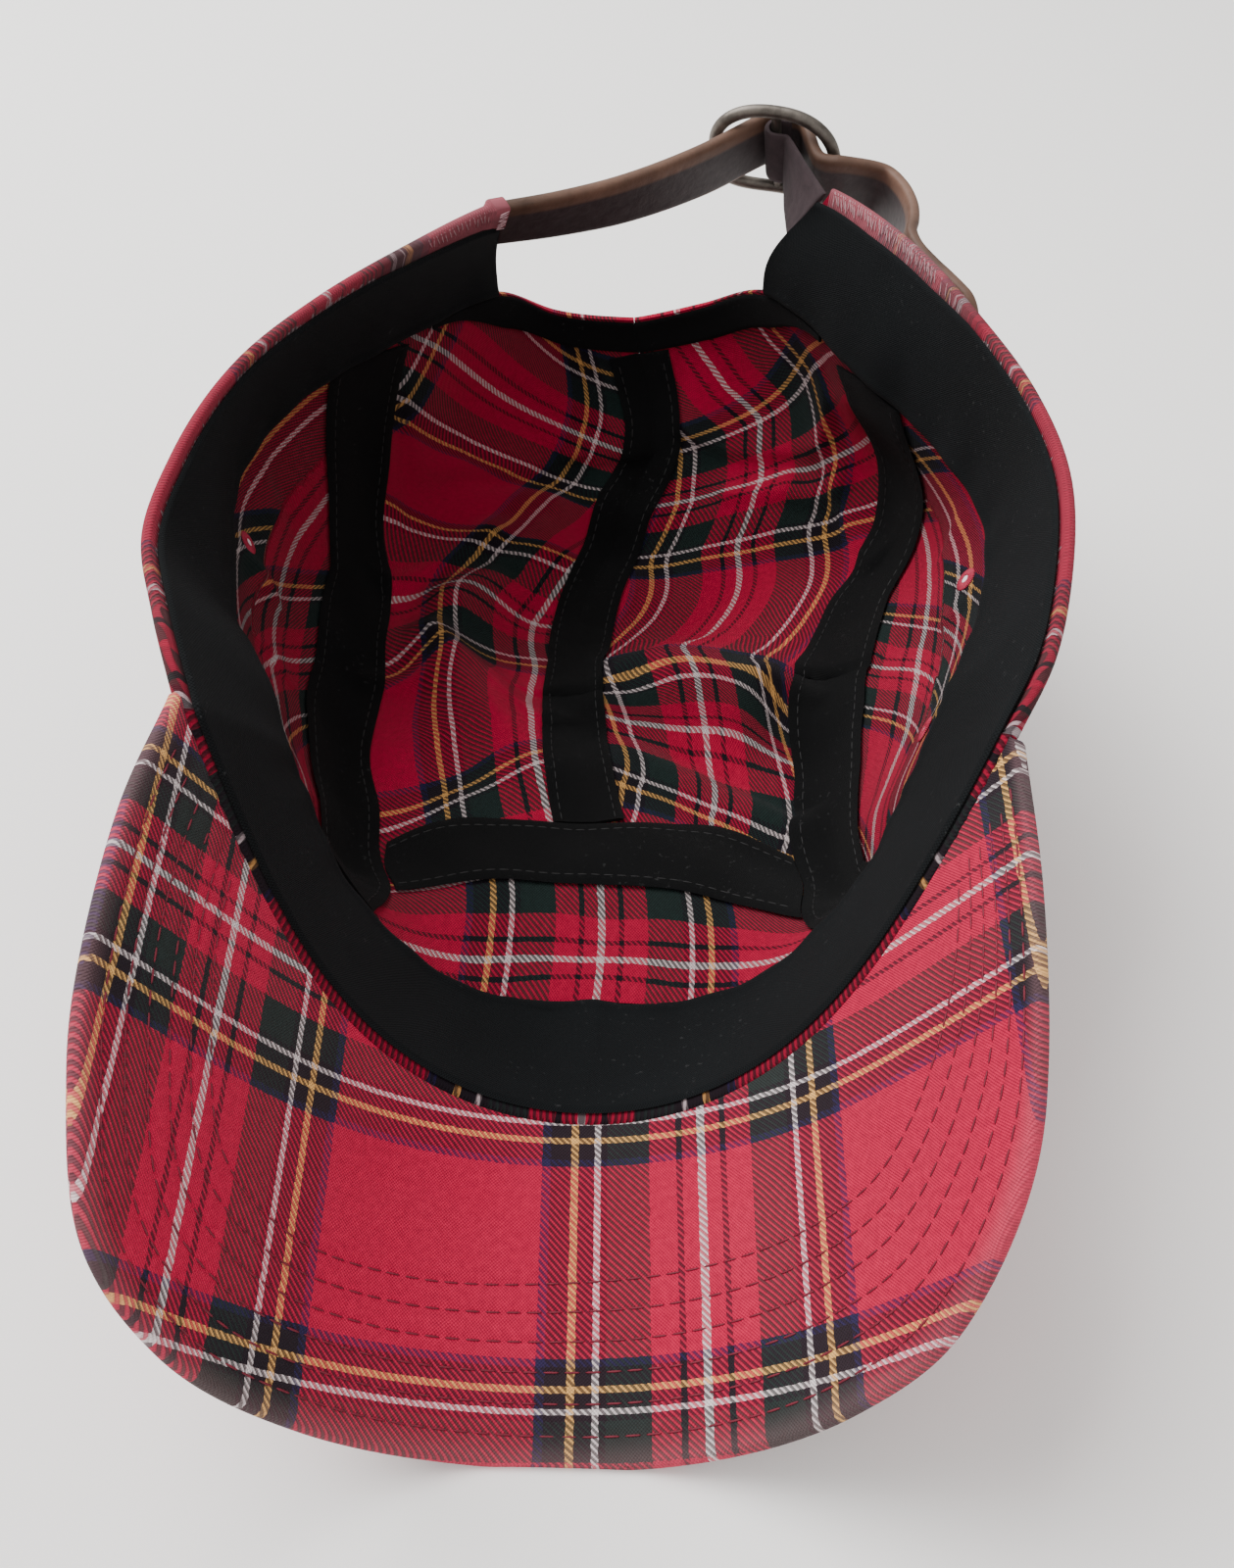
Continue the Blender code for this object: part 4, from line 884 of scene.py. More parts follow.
TWILL = twill_group()
PLAID = plaid_group(TWILL)
LINT = lint_group()


def new_material(name, looks):
    """A new material, its nodes, and a way to finish it with its colour and relief."""
    made = bpy.data.materials.new(name)
    made.use_nodes = True
    n = Nodes(made.node_tree)
    shader = made.node_tree.nodes["Principled BSDF"]
    for word, value in looks.items():
        n.feed(shader.inputs[word], value)

    def finish(colour, height, distance, strength, rough=None):
        bump = n.new("Bump")
        bump.inputs["Distance"].default_value = distance
        bump.inputs["Strength"].default_value = strength
        n.feed(bump.inputs["Height"], height)
        if rough:
            n.feed(shader.inputs["Roughness"], rough)
        n.feed(shader.inputs["Base Color"], colour)
        n.feed(shader.inputs["Normal"], bump.outputs["Normal"])
        return made

    return n, finish


def plaid_cloth(name, slant, shade_tint, fading):
    """Plaid twill, its colour multiplied by a tint; a tint below one is painted shade."""
    n, finish = new_material(name, {"Roughness": 0.93, "Specular IOR Level": 0.08,
                                    "Sheen Weight": 0.03, "Sheen Roughness": 0.5})
    counts = n.counts()
    wear = n.times(n.noise(n.place(), 28.0, 3.0), fading)
    worn = n.add(wear, n.times(counts["Z"], RUBBED_FADING))
    weave = n.group(PLAID, Slant=slant, Across=counts["X"], Along=counts["Y"], Fading=worn)
    # Multiplied by the tint: where it is below one this is painted shade
    colour = n.mix(1.0, weave["Color"], shade_tint, "MULTIPLY")
    return finish(colour, weave["Height"], 0.00022, 0.8)


def black_cloth(name, colour, pitch, slant, lint):
    """Black twill or tape with a little lint."""
    n, finish = new_material(name, {"Roughness": 0.9, "Specular IOR Level": 0.10,
                                    "Sheen Weight": 0.02})
    counts = n.counts()
    weave = n.group(TWILL, Pitch=pitch, Slant=slant, Across=counts["X"], Along=counts["Y"])
    # Raised twill rows painted lighter and their dips darker, painted shade of the weave, plus
    # random tone from the noise
    level = n.add(n.times(weave["Height"], 0.9), n.times(n.noise(n.place(), 40.0, 3.0), 0.9))
    dusty = n.mix(n.group(LINT, Amount=lint)["Mask"], n.dimmed(colour, level), LINT_GREY)
    return finish(dusty, weave["Height"], 0.00012, 0.7)


def hide(name, face, flesh, rough):
    """Leather: grain side, with another colour where the mesh says so."""
    n, finish = new_material(name, {"Roughness": rough, "Specular IOR Level": 0.3})
    place = n.place()
    grain = n.noise(place, 420.0, 4.0, 0.6)
    rubbed = n.times(n.less(n.noise(place, 60.0, 4.0, 0.6), 0.35), 3.0)
    level = n.add(n.times(n.add(n.times(grain, 0.7), rubbed), 0.62), 0.42)
    back = n.add(n.times(grain, 1.2), 0.4)
    colour = n.mix(n.counts()["Z"], n.dimmed(face, level), n.dimmed(flesh, back))
    return finish(colour, grain, 0.00025, 0.7)


def thread(name, colour):
    """Sewing thread."""
    n, finish = new_material(name, {"Roughness": 0.7})
    fibre = n.noise(n.place(), 1500.0)
    return finish(n.dimmed(colour, n.add(fibre, 0.5)), fibre, 0.0001, 0.5)


def worn_metal(name):
    """Grey-brown metal, rubbed brighter in patches."""
    n, finish = new_material(name, {"Metallic": 0.9})
    place = n.place()
    patch = n.noise(place, 130.0, 5.0, 0.65)
    return finish(n.ramp(patch, METAL_TONES), n.noise(place, 1400.0), 0.00008, 0.4,
                  n.add(n.times(patch, 0.35), 0.32))


# Crown, front and side panels: the plaid dimmed to about two thirds, painted shade of the cap's
# inside
crown_plaid_painted_shade = plaid_cloth("crown_plaid_painted_shade", 1.0, (0.66, 0.62, 0.62), 0.02)
peak_plaid = plaid_cloth("peak_plaid", -1.0, (1.0, 1.0, 1.0), 0.06)
# Rim fold: the plaid dimmed to about half, painted shade along the fold; its fading towards the
# ends is rubbed wear
edge_plaid_painted_shade = plaid_cloth("edge_plaid_painted_shade", 1.0, (0.52, 0.46, 0.48), 0.04)
band_cloth = black_cloth("band_cloth", (0.0045, 0.0055, 0.0062), 0.0009, 1.0, 0.05)
tape_cloth = black_cloth("tape_cloth", (0.0030, 0.0032, 0.0034), 0.0007, -1.0, 0.05)
strap_hide = hide("strap_hide", (0.115, 0.062, 0.042), (0.034, 0.025, 0.026), 0.60)
tab_hide = hide("tab_hide", (0.036, 0.023, 0.026), (0.036, 0.023, 0.026), 0.9)
eyelet_thread = thread("eyelet_thread", (0.34, 0.010, 0.040))
red_thread = thread("red_thread", (0.14, 0.002, 0.016))
hole_light = thread("hole_light", (0.85, 0.72, 0.74))
black_thread = thread("black_thread", (0.0016, 0.0016, 0.0018))
pale_thread = thread("pale_thread", (0.42, 0.24, 0.26))
aged_metal = worn_metal("aged_metal")


# Meshes

def put(name, points, faces, finish, replaces=(), counts=None, sharp=50):
    """A finished piece that rides on the part."""
    mesh = bpy.data.meshes.new(name)
    points = points.reshape(-1, 3) + SHIFT
    mesh.vertices.add(len(points))
    mesh.vertices.foreach_set("co", points.ravel())
    mesh.loops.add(faces.size)
    mesh.loops.foreach_set("vertex_index", faces.ravel())
    mesh.polygons.add(len(faces))
    mesh.polygons.foreach_set("loop_start", np.arange(len(faces)) * faces.shape[1])
    mesh.update(calc_edges=True)
    mesh.validate()
    if counts is not None:
        layer = mesh.attributes.new("cloth", "FLOAT_VECTOR", "POINT")
        layer.data.foreach_set("vector", counts.ravel())
    mesh.shade_smooth()
    if sharp:
        mesh.set_sharp_from_angle(angle=math.radians(sharp))
    mesh.materials.append(finish)
    made = bpy.data.objects.new(name, mesh)
    bpy.context.collection.objects.link(made)
    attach(made, "root")
    if replaces:
        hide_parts(*replaces)
    return made


def quads(rows, columns, close=False):
    """Quads of a grid of points held row by row."""
    r, c = np.meshgrid(np.arange(rows - 1), np.arange(columns if close else columns - 1),
                       indexing="ij")
    here = r * columns
    nxt = (c + 1) % columns
    return np.stack([here + c, here + nxt, here + columns + nxt, here + columns + c],
                    -1).reshape(-1, 4)


def shell(inner, outer, faces, counts):
    """Closed sheet between two layers that share their faces and counts."""
    edges = np.concatenate([faces[:, [k, (k + 1) % 4]] for k in range(4)])
    seen = {tuple(e) for e in edges[edges[:, 0] != edges[:, 1]]}
    border = np.array([e for e in seen if (e[1], e[0]) not in seen])
    count = len(inner)
    walls = np.stack([border[:, 1], border[:, 0], border[:, 0] + count, border[:, 1] + count], -1)
    return (np.vstack([inner, outer]), np.vstack([faces, faces[:, ::-1] + count, walls]),
            np.vstack([counts, counts]))


def cloth(node, xi, eta, low, high, count, finish, faces=None):
    """Sheet of cloth on the bowl between two distances from it, with its weave's counts."""
    if faces is None:
        faces = quads(*xi.shape)
    point = on_bowl(*polar(xi, eta)).reshape(-1, 3)
    normal = bowl_normal(xi, eta).reshape(-1, 3)
    inside, outside = (point + np.reshape(d, (-1, 1)) * normal for d in (low, high))
    outside[:, 2] = np.maximum(outside[:, 2], 0.0)
    counts = np.column_stack([*count(xi.ravel(), eta.ravel()), np.zeros(xi.size)])
    points, skin, counts = shell(inside, outside, faces, counts)
    return put(node + "_cloth", points, skin, finish, [node], counts)


def panel(node, xi, eta, count, faces=None):
    """Piece of plaid cloth on the bowl."""
    return cloth(node, xi, eta, 0.0, PANEL_THICK, count, crown_plaid_painted_shade, faces)


def lining(node, xi, eta, edge, thick, finish, slot, soft=0.0):
    """Band or tape whose thickness is rounded off where `edge` is below 1."""
    worn_off = thick / 2 * (1 - np.sqrt(1 - (1 - np.clip(edge, 0, 1)) ** 2)) + 0 * xi
    return cloth(node, xi, eta, -(LAY_GAP + thick) + worn_off + soft, -LAY_GAP - worn_off,
                 plain_cloth, finish)


def seam_nodes():
    """Turn and rise along a side seam."""
    places = [np.linspace(*stretch)[:-1] for stretch in SEAM_STRETCHES]
    row = smooth(SIDE_SEAM, np.concatenate([*places, [1.0]]))
    return row[:, 0], row[:, 1]


def beside_seam(inset):
    """Turn and rise of places moved off the right side seam, plus toward the rim."""
    return polar(*shifted(*disc(*seam_nodes()), inset))


def crown_half(node, side, table):
    """Half of the crown, from the centre seam out to the side seam, rim and arch."""
    seam_turn, seam_rise = beside_seam(-GAP / 2)
    first = FRONT_CORNERS - 1
    ear_start = len(seam_turn) - EAR_CORNERS
    front_turn = np.linspace(0, seam_turn[first], FRONT_CORNERS)[:-1]
    front_rise = trim(front_turn, smooth(FRONT_SEAM, front_turn)[:, 0], GAP / 2)
    rear_turn = np.linspace(seam_turn[-1], OPENING_TURN, REAR_COLUMNS)[1:]
    arch_turn = np.linspace(OPENING_TURN, 180, ARCH_COLUMNS)[1:]
    turns = np.concatenate([front_turn, seam_turn[first:], rear_turn, arch_turn])
    arch_rise = np.full(len(rear_turn) + len(arch_turn), BAND_RISE)
    edge = np.concatenate([front_rise, seam_rise[first:], arch_rise])
    ear = np.arange(len(front_turn) + ear_start - first, len(turns) - len(arch_turn))
    top = np.concatenate([seam_rise[ear_start:], np.ones(len(rear_turn))])
    base = np.minimum(edge, BAND_RISE)
    base[ear[0]] = edge[ear[0]]
    columns = len(turns)
    fan = np.arange(columns - 1)
    faces = [quads(CROWN_ROWS, columns) + 1, np.stack([0 * fan, fan + 2, fan + 1, 0 * fan], -1)]
    rise = np.linspace(0, 1, CROWN_ROWS + 1)[1:, None] * base
    places = [[(0.0, TINY)], np.column_stack([np.tile(turns, CROWN_ROWS), rise.ravel()])]
    below = 1 + (CROWN_ROWS - 1) * columns + ear
    total = 1 + CROWN_ROWS * columns
    for k in range(1, EAR_ROWS + 1):
        new = base[ear] + (top - base[ear]) * k / EAR_ROWS
        places.append(np.column_stack([turns[ear], new])[1:])
        row = np.concatenate([below[:1], total + np.arange(len(ear) - 1)])
        total += len(ear) - 1
        faces.append(np.stack([below[:-1], below[1:], row[1:], row[:-1]], -1))
        below = row
    turn, rise = np.vstack(places).T
    faces = np.vstack(faces)
    xi, eta = disc(side * turn, rise)
    xi = side * np.maximum(side * xi, SEAM_KEEP)
    return panel(node, xi, eta, crown_cloth(table), faces if side > 0 else faces[:, ::-1])


def front_panel():
    """Low panel between the peak and the front seam."""
    turn, rise = (row[:FRONT_CORNERS, None] for row in beside_seam(-GAP / 2))
    depth = (rise[0] - rise) / (rise[0] - rise[-1])
    turn = np.linspace(-1, 1, FRONT_COLUMNS) * turn
    inner = smooth(FRONT_SEAM, np.abs(turn[-1]))[:, 0]
    inner = 2 * inner - trim(turn[-1], inner, GAP / 2)
    outer = trim(turn[0], 1.0, GAP / 2)
    return panel("front_panel", *disc(turn, outer + depth * (inner - outer)), front_cloth)


def side_panel(node, side):
    """Curved panel between the rim and a side seam."""
    rim_turn = seam_nodes()[0]
    rim_turn[0] += RIM_INSET
    rim_turn[-1] -= RIM_INSET
    seam_turn, seam_rise = beside_seam(GAP / 2)
    rim_rise = trim(rim_turn, 1.0, np.where(rim_turn < PEAK_TURN, GAP / 2, 0.0))
    across = np.linspace(0, 1, SIDE_ROWS)[:, None]
    turn = rim_turn + across * (seam_turn - rim_turn)
    rise = rim_rise + across * (np.minimum(seam_rise, SEAM_TOP) - rim_rise)
    return panel(node, *disc(side * turn, rise), side_cloth)


def peak_counts(across, forward):
    """Counts of the plaid over the peak's flat pattern."""
    a, b = spin(across, forward, -SETT_TURN)
    return a / SETT + SETT_START[0], b / (SETT * SETT_SQUASH) + SETT_START[1]


def peak_lines():
    """Join and outer edge of the peak on its flat pattern."""
    share = np.linspace(-1, 1, PEAK_GRID[1])
    near = np.column_stack(join_flat(share * PEAK_TURN)) + (0, GAP / 2)
    far = smooth(PEAK_EDGE, (share + 1) / 2) * (PEAK_HALF_WIDTH, PEAK_REACH)
    return share, near, far, np.linalg.norm(far - near, axis=1)


def peak_piece():
    """Peak with a rolled edge and quilted rows."""
    share, near, far, span = peak_lines()
    part = np.linspace(0, 1, PEAK_GRID[0])[:, None] ** PEAK_CROWDING
    across, forward = (near + part[..., None] * (far - near)).transpose(2, 0, 1)
    inset = (1 - part) * span
    normal = peak_normal(across, forward)
    quilt = sum(np.exp(-((inset - row) / QUILT_WIDTH) ** 2) for row in PEAK_ROWS)
    quilt = quilt * np.minimum(1, np.minimum(1 + share, 1 - share) / QUILT_ENDS)
    roll = np.sqrt(np.clip(1 - (1 - np.clip(inset / PEAK_EDGE_ROLL, 0, 1)) ** 2, 0, 1))
    half = PEAK_THICK / 2
    middle = on_peak(across, forward) + normal * half
    sides = []
    for way, dent, foot in ((-1, QUILT_DENTS[0], PEAK_FOOT), (1, QUILT_DENTS[1], 0.0)):
        off = half * (PEAK_EDGE_THIN + (1 - PEAK_EDGE_THIN) * roll) - dent * quilt
        side = middle + way * normal * off[..., None]
        side[..., 2] = np.maximum(side[..., 2], foot)
        sides.append(side.reshape(-1, 3))
    wear = np.exp(-(inset / PEAK_WEAR) ** 2).ravel()
    counts = np.column_stack([*peak_counts(across.ravel(), forward.ravel()), wear])
    points, skin, counts = shell(*sides, quads(*inset.shape), counts)
    return put("stitched_peak", points, skin, peak_plaid, ["peak"], counts)


def circle(sides, first, second):
    """Points of a round of radius one between two ways."""
    angle = np.linspace(0, 2 * math.pi, sides, endpoint=False)
    return (np.cos(angle)[:, None] * first[..., None, :]
            + np.sin(angle)[:, None] * second[..., None, :])


def rods(name, stitches, radius, finish, sides=6):
    """Many short rounded stitches as one piece."""
    starts, ends = (np.vstack(part) for part in zip(*stitches))
    way = unit(ends - starts)
    other = np.where(np.abs(way[:, 2:]) > 0.9, [[1.0, 0, 0]], [[0, 0, 1.0]])
    first = unit(np.cross(way, other))
    around = circle(sides, first, np.cross(way, first))
    run = (way * np.linalg.norm(ends - starts, axis=1)[:, None])[:, None]
    rings = [starts[:, None] + run * place + around * radius * size
             for place, size in STITCH_SHAPE]
    block = len(rings) * sides
    caps = []
    for base, order in ((0, -1), (block - sides, 1)):
        idx = (base + np.arange(sides))[::order]
        for k in range(1, sides - 1, 2):
            caps.append([idx[0], idx[k], idx[k + 1], idx[min(k + 2, sides - 1)]])
    one = np.vstack([quads(len(rings), sides, close=True), caps])
    faces = one + (np.arange(len(starts)) * block)[:, None, None]
    return put(name, np.stack(rings, 1), faces.reshape(-1, 4), finish, sharp=0)


def stitches_on(points, normal, length, gap, lift):
    """Starts and ends of stitches along a line, lying `lift` off the cloth."""
    place = lengths(points)
    start = np.arange(gap, place[-1] - length - gap, length + gap)

    def at(where):
        spot, up = (np.column_stack([np.interp(where, place, c) for c in rows.T])
                    for rows in (points, normal))
        return spot + unit(up) * lift

    return at(start), at(start + length)


def peak_stitches():
    """Rows of stitches parallel to the peak's outer edge."""
    _, near, far, span = peak_lines()
    stitches = []
    for row in PEAK_ROWS:
        flat = far + (near - far) / span[:, None] * row
        off_join = np.linalg.norm(flat[:, None] - near, axis=-1).min(axis=1)
        flat = flat[(off_join > BAND_CLEAR) & (row < span - BAND_CLEAR)].T
        stitches.append(stitches_on(on_peak(*flat), -peak_normal(*flat), *PEAK_STITCH))
    return rods("peak_stitching", stitches, PEAK_THREAD, red_thread)


def sweatband():
    """Band inside the rim, open at the back, with a soft turned edge."""
    end = OPENING_TURN + BAND_LAP
    turn = np.linspace(-end, end, BAND_GRID[1])[None, :]
    part = np.linspace(0, 1, BAND_GRID[0])[:, None]
    top = trim(turn, 1.0, straight(BAND_DROPS, turn)[0])
    rise = top + part * (BAND_RISE - top)
    turn = np.broadcast_to(turn, rise.shape)
    angle = np.radians(turn)
    wave = BAND_WAVE * np.sin(angle * BAND_WAVES[0]) * np.sin(angle * BAND_WAVES[1] + 1.0)
    wave = wave * ramp(part, 0.3, 1.0)
    ridge = (1 - part) * BAND_WIDTH / BAND_FOLD_WIDTH - BAND_FOLD_PLACE
    fold = BAND_FOLD * np.exp(-ridge ** 2)
    edge = np.minimum(part, 1 - part) * BAND_WIDTH / BAND_EDGE
    return lining("sweatband", *disc(turn, rise), edge, BAND_THICK, band_cloth, "black_twill",
                  wave - fold)


def tape(node, xi, eta, width, ends):
    """Flat tape laid along a line on the inside of the bowl."""
    shares = np.linspace(-0.5, 0.5, TAPE_GRID[0])
    lines = np.array([shifted(xi, eta, share * width) for share in shares])
    xi, eta = ends(*lines.transpose(1, 0, 2))
    edge = (0.5 - np.abs(shares))[:, None] * TAPE_WIDTH / TAPE_EDGE
    piece = lining(node, xi, eta, edge, TAPE_THICK, tape_cloth, "black_tape")
    stitches = [stitches_on(on_bowl(*polar(xi[row], eta[row])), -bowl_normal(xi[row], eta[row]),
                            *TAPE_STITCH) for row in TAPE_ROWS]
    rods(node + "_stitches", stitches, TAPE_THREAD, black_thread, 5)
    return piece


def side_tape(node, side):
    """Tape over a side seam, from the sweatband's edge to the sweatband's edge."""
    places = np.linspace(*TAPE_ENDS, TAPE_GRID[1])
    xi, eta = seam_path(places)
    width = SIDE_TAPE_WIDTH * (1 + TAPE_FLARE * ramp(places, *FLARE_PLACES))

    def under_band(xi, eta):
        turn, rise = polar(xi, eta)
        return disc(turn, np.minimum(rise, trim(turn, BAND_RISE, GAP)))

    return tape(node, side * xi, eta, width, under_band)


def front_tape():
    """Tape over the front seam, between the side tapes."""
    turn = np.linspace(-FRONT_TAPE_TURN, FRONT_TAPE_TURN, 130)
    xi, eta = disc(turn, smooth(FRONT_SEAM, np.abs(turn))[:, 0])
    edge = shifted(*seam_path(np.linspace(*FRONT_TAPE_SEAM, 40)), -SIDE_TAPE_WIDTH / 2 - GAP / 3)

    def between_tapes(xi, eta):
        reach = np.interp(-eta, -edge[1][::-1], edge[0][::-1])
        left, right = (reach[:, k:k + 1] / np.abs(xi[:, k:k + 1]) for k in (0, xi.shape[1] - 1))
        return xi * np.where(xi > 0, right, left), eta

    return tape("front_seam_tape", xi, eta, FRONT_TAPE_WIDTH, between_tapes)


def binding_edge(turn):
    """Rise of the arch binding's lower edge."""
    return trim(turn, BAND_RISE, BINDING_WIDTH)


def center_tape():
    """Tape over the centre seam, from the front tape to the arch binding."""
    start = trim(np.array([0.0]), FRONT_SEAM[0][1], FRONT_TAPE_WIDTH / 2)[0]
    eta = np.linspace(-start, binding_edge(np.array([180.0]))[0], TAPE_GRID[1])

    def short_of_neighbours(xi, eta):
        turn, rise = polar(xi, eta)
        seam = smooth(FRONT_SEAM, np.abs(turn))[..., 0]
        front = trim(turn, seam, FRONT_TAPE_WIDTH / 2 + GAP)
        back = trim(turn, binding_edge(turn), GAP)
        return disc(turn, np.minimum(rise, np.where(eta < 0, front, back)))

    return tape("center_tape", np.zeros_like(eta), eta, TAPE_WIDTH, short_of_neighbours)


def arch_binding():
    """Facing along the arch, between the ends of the sweatband."""
    tail = OPENING_TURN - BINDING_TAIL
    half = np.linspace(tail, 180, FACING_GRID[1])
    turn = np.concatenate([half, -half[-2::-1]])[None, :]
    top = trim(turn, BAND_RISE, GAP / 2)
    part = np.linspace(0, 1, FACING_GRID[0])[:, None]
    narrow = ramp(180 - np.abs(180 - turn % 360), tail, OPENING_TURN + 3)
    narrow = BINDING_END + (1 - BINDING_END) * narrow
    rise = top + part * (binding_edge(turn) - top) * narrow
    edge = np.minimum(part, 1 - part) * BINDING_WIDTH / TAPE_EDGE
    return lining("arch_binding", *disc(np.broadcast_to(turn, rise.shape), rise), edge,
                  TAPE_THICK, tape_cloth, "black_tape")


def rounded(points, count):
    """Evenly spaced points on a smooth curve through a few points."""
    points = np.asarray(points, float)
    steps = np.linalg.norm(np.diff(points[:, :3], axis=0), axis=1)
    place = np.concatenate([[0.0], np.cumsum(np.sqrt(steps))])
    fine = smooth(np.column_stack([place, points]), np.linspace(0, place[-1], CURVE_POINTS))
    length = lengths(fine[:, :3])
    want = np.linspace(0, length[-1], count)
    return np.column_stack([np.interp(want, length, column) for column in fine.T])


def buckle_frame():
    """Top of the bar, and the ways along, out and down of the buckle."""
    ends = rim(np.array([-OPENING_TURN, OPENING_TURN]))
    top = ends.mean(axis=0) + np.array(BAR_PLACE) * RIM_HALF_WIDTH
    ahead = unit(np.array(BUCKLE_WAY))
    down = np.array(BUCKLE_DOWN)
    down = unit(down - ahead * (down @ ahead))
    return top, ahead, np.cross(ahead, down), down


def rim_end(turn):
    """Point on the rim at one turn, and the way down the wall from it."""
    turn = np.array([float(turn)])
    top = rim(turn)
    return top[0], unit(on_bowl(turn, trim(turn, 1.0, STRAP_WIDTH)) - top)[0]


def strap_line():
    """Upper edge of the strap, with its way down at each point."""
    top, ahead, out, down = buckle_frame()
    left, lean = rim_end(-OPENING_TURN)
    start = left + unit(top - left) * SEAT_GAP + out * WALL / 2
    clear = BAR_RADIUS + TAB_THICK + 2 * GAP + STRAP_THICK / 2
    under = -BUCKLE_BOW - RAIL_RADIUS - 2 * GAP - STRAP_THICK / 2
    weave = [top + ahead * along * BUCKLE_HALF_LENGTH + out * (under + share * (clear - under))
             for along, share in STRAP_WEAVE]
    rows = [(start, lean)]
    for share, bow in STRAP_BOW:
        rows.append((start + (weave[0] - start) * share + out * bow * STRAP_WIDTH,
                     unit(lean * (1 - share) ** 2 + down * share)))
    rows += [(spot, down) for spot in weave]
    for turn, off, drop in FREE_END:
        base, way = rim_end(turn)
        x, y, _ = np.diff(rim(np.array([turn - 0.5, turn + 0.5])), axis=0)[0]
        level = unit(np.array([y, -x, 0.0]))
        rows.append((base + level * off * STRAP_WIDTH + way * drop * STRAP_WIDTH,
                     unit(way + down * 2 * max(off - 0.3, 0.0))))
    both = rounded([(*spot, *way) for spot, way in rows], STRAP_POINTS)
    return both[:, :3], unit(both[:, 3:])


def leather(node, line, down, thick, finish, slot, inner=1, tip=0.0, turned=-0.5):
    """Strip with rounded edges, its flesh side marked where `turned` says."""
    face = unit(np.cross(np.gradient(line, axis=0), down))
    place = lengths(line)
    left = place[-1] - place
    ends = np.clip((np.minimum(place, left) + TINY) / LEATHER_EDGE, 0, 1)
    narrow = (1 - LEATHER_THIN) + LEATHER_THIN * np.sqrt(1 - (1 - ends) ** 2)
    curve = np.sqrt(np.clip(1 - (1 - left / max(tip, TINY)) ** 2, 0, 1))
    taper = np.where(left < tip, curve, 1.0)
    wide = STRAP_WIDTH * (TIP_WIDTH + (1 - TIP_WIDTH) * taper)
    near = list(LEATHER_CORNER) + [(s, 1.0) for s in np.linspace(*LEATHER_FLAT)]
    near += [(-s, t) for s, t in LEATHER_CORNER[::-1]]
    loop = near + [(s, -t) for s, t in near[-2:0:-1]]
    rows = len(loop)
    points = np.array([line + down * (STRAP_WIDTH / 2 + s * wide)[:, None]
                       + face * (t * thick / 2 * narrow)[:, None] for s, t in loop])
    mark = np.array([[float(t * inner > 0.9 and s > turned)] * len(line) for s, t in loop])
    caps = []
    for c, order in ((0, 1), (len(line) - 1, -1)):
        idx = (np.arange(rows) * len(line) + c)[::order]
        for k in range(rows // 2 - 1):
            caps.append([idx[k], idx[k + 1], idx[rows - 2 - k], idx[rows - 1 - k]])
    faces = np.vstack([quads(rows + 1, len(line)) % mark.size, caps])
    counts = np.column_stack([np.zeros((mark.size, 2)), mark.ravel()])
    return put(node + "_leather", points, faces, finish, [node], counts)


def strap():
    """Long strap, from the left end of the rim through the buckle to its free end."""
    return leather("strap", *strap_line(), STRAP_THICK, strap_hide, "brown_leather", -1,
                   STRAP_TIP, STRAP_TURNED)


def strap_tab():
    """Short tab from the right end of the rim, turned back round the buckle's bar."""
    top, ahead, out, down = buckle_frame()
    right, lean = rim_end(OPENING_TURN)
    radius = BAR_RADIUS + GAP + TAB_THICK / 2
    near = top + ahead * BUCKLE_HALF_LENGTH * TAB_HOLD
    seat = right + lean * WALL + unit(near - right) * SEAT_GAP
    places = [seat, seat + (near - out * radius - seat) * 0.5, near - out * radius,
              top + (ahead - out) * radius]
    for angle in np.pi * np.arange(1, 10) / 10:
        places.append(top - ahead * math.sin(angle) * radius - out * math.cos(angle) * radius)
    line = np.array(places + [top + (ahead + out) * radius, near + out * radius])
    share = np.clip(np.linalg.norm(line - seat, axis=1) / np.linalg.norm(near - seat), 0, 1)
    share = share[:, None]
    ways = unit(lean * (1 - share) + down * share)
    both = rounded(np.column_stack([line, ways]), TAB_POINTS)
    return leather("strap_tab", both[:, :3], unit(both[:, 3:]), TAB_THICK, tab_hide,
                   "tab_leather")


def tube(line, way, out, radius, sides, closed):
    """Points and faces of a round tube along a line."""
    first = unit(np.cross(way, out))
    points = line[:, None] + radius * circle(sides, first, np.cross(way, first))
    faces = quads(len(line) + closed, sides, close=True)
    return points.reshape(-1, 3), faces % (len(line) * sides)


def buckle():
    """Oval frame with a bar across its middle."""
    top, ahead, out, down = buckle_frame()
    middle = top + down * STRAP_WIDTH / 2
    half_height = STRAP_WIDTH / 2 + BUCKLE_MARGIN
    angle = np.linspace(0, 2 * math.pi, FRAME_POINTS, endpoint=False)
    x, y = (np.sign(v) * np.abs(v) ** (2 / FRAME_SQUARENESS)
            for v in (np.cos(angle), np.sin(angle)))
    line = (middle + np.outer(x * BUCKLE_HALF_LENGTH, ahead) + np.outer(y * half_height, down)
            - np.outer(x ** 2 * BUCKLE_BOW, out))
    way = unit(np.roll(line, -1, axis=0) - np.roll(line, 1, axis=0))
    frame_points, frame_faces = tube(line, way, out, RAIL_RADIUS, 20, True)
    bar = middle + np.outer(np.linspace(-1, 1, 24) * half_height, down)
    bar_points, bar_faces = tube(bar, down + 0 * bar, out, BAR_RADIUS, 16, False)
    return put("buckle_metal", np.vstack([frame_points, bar_points]),
               np.vstack([frame_faces, bar_faces + len(frame_points)]), aged_metal,
               ["buckle"])


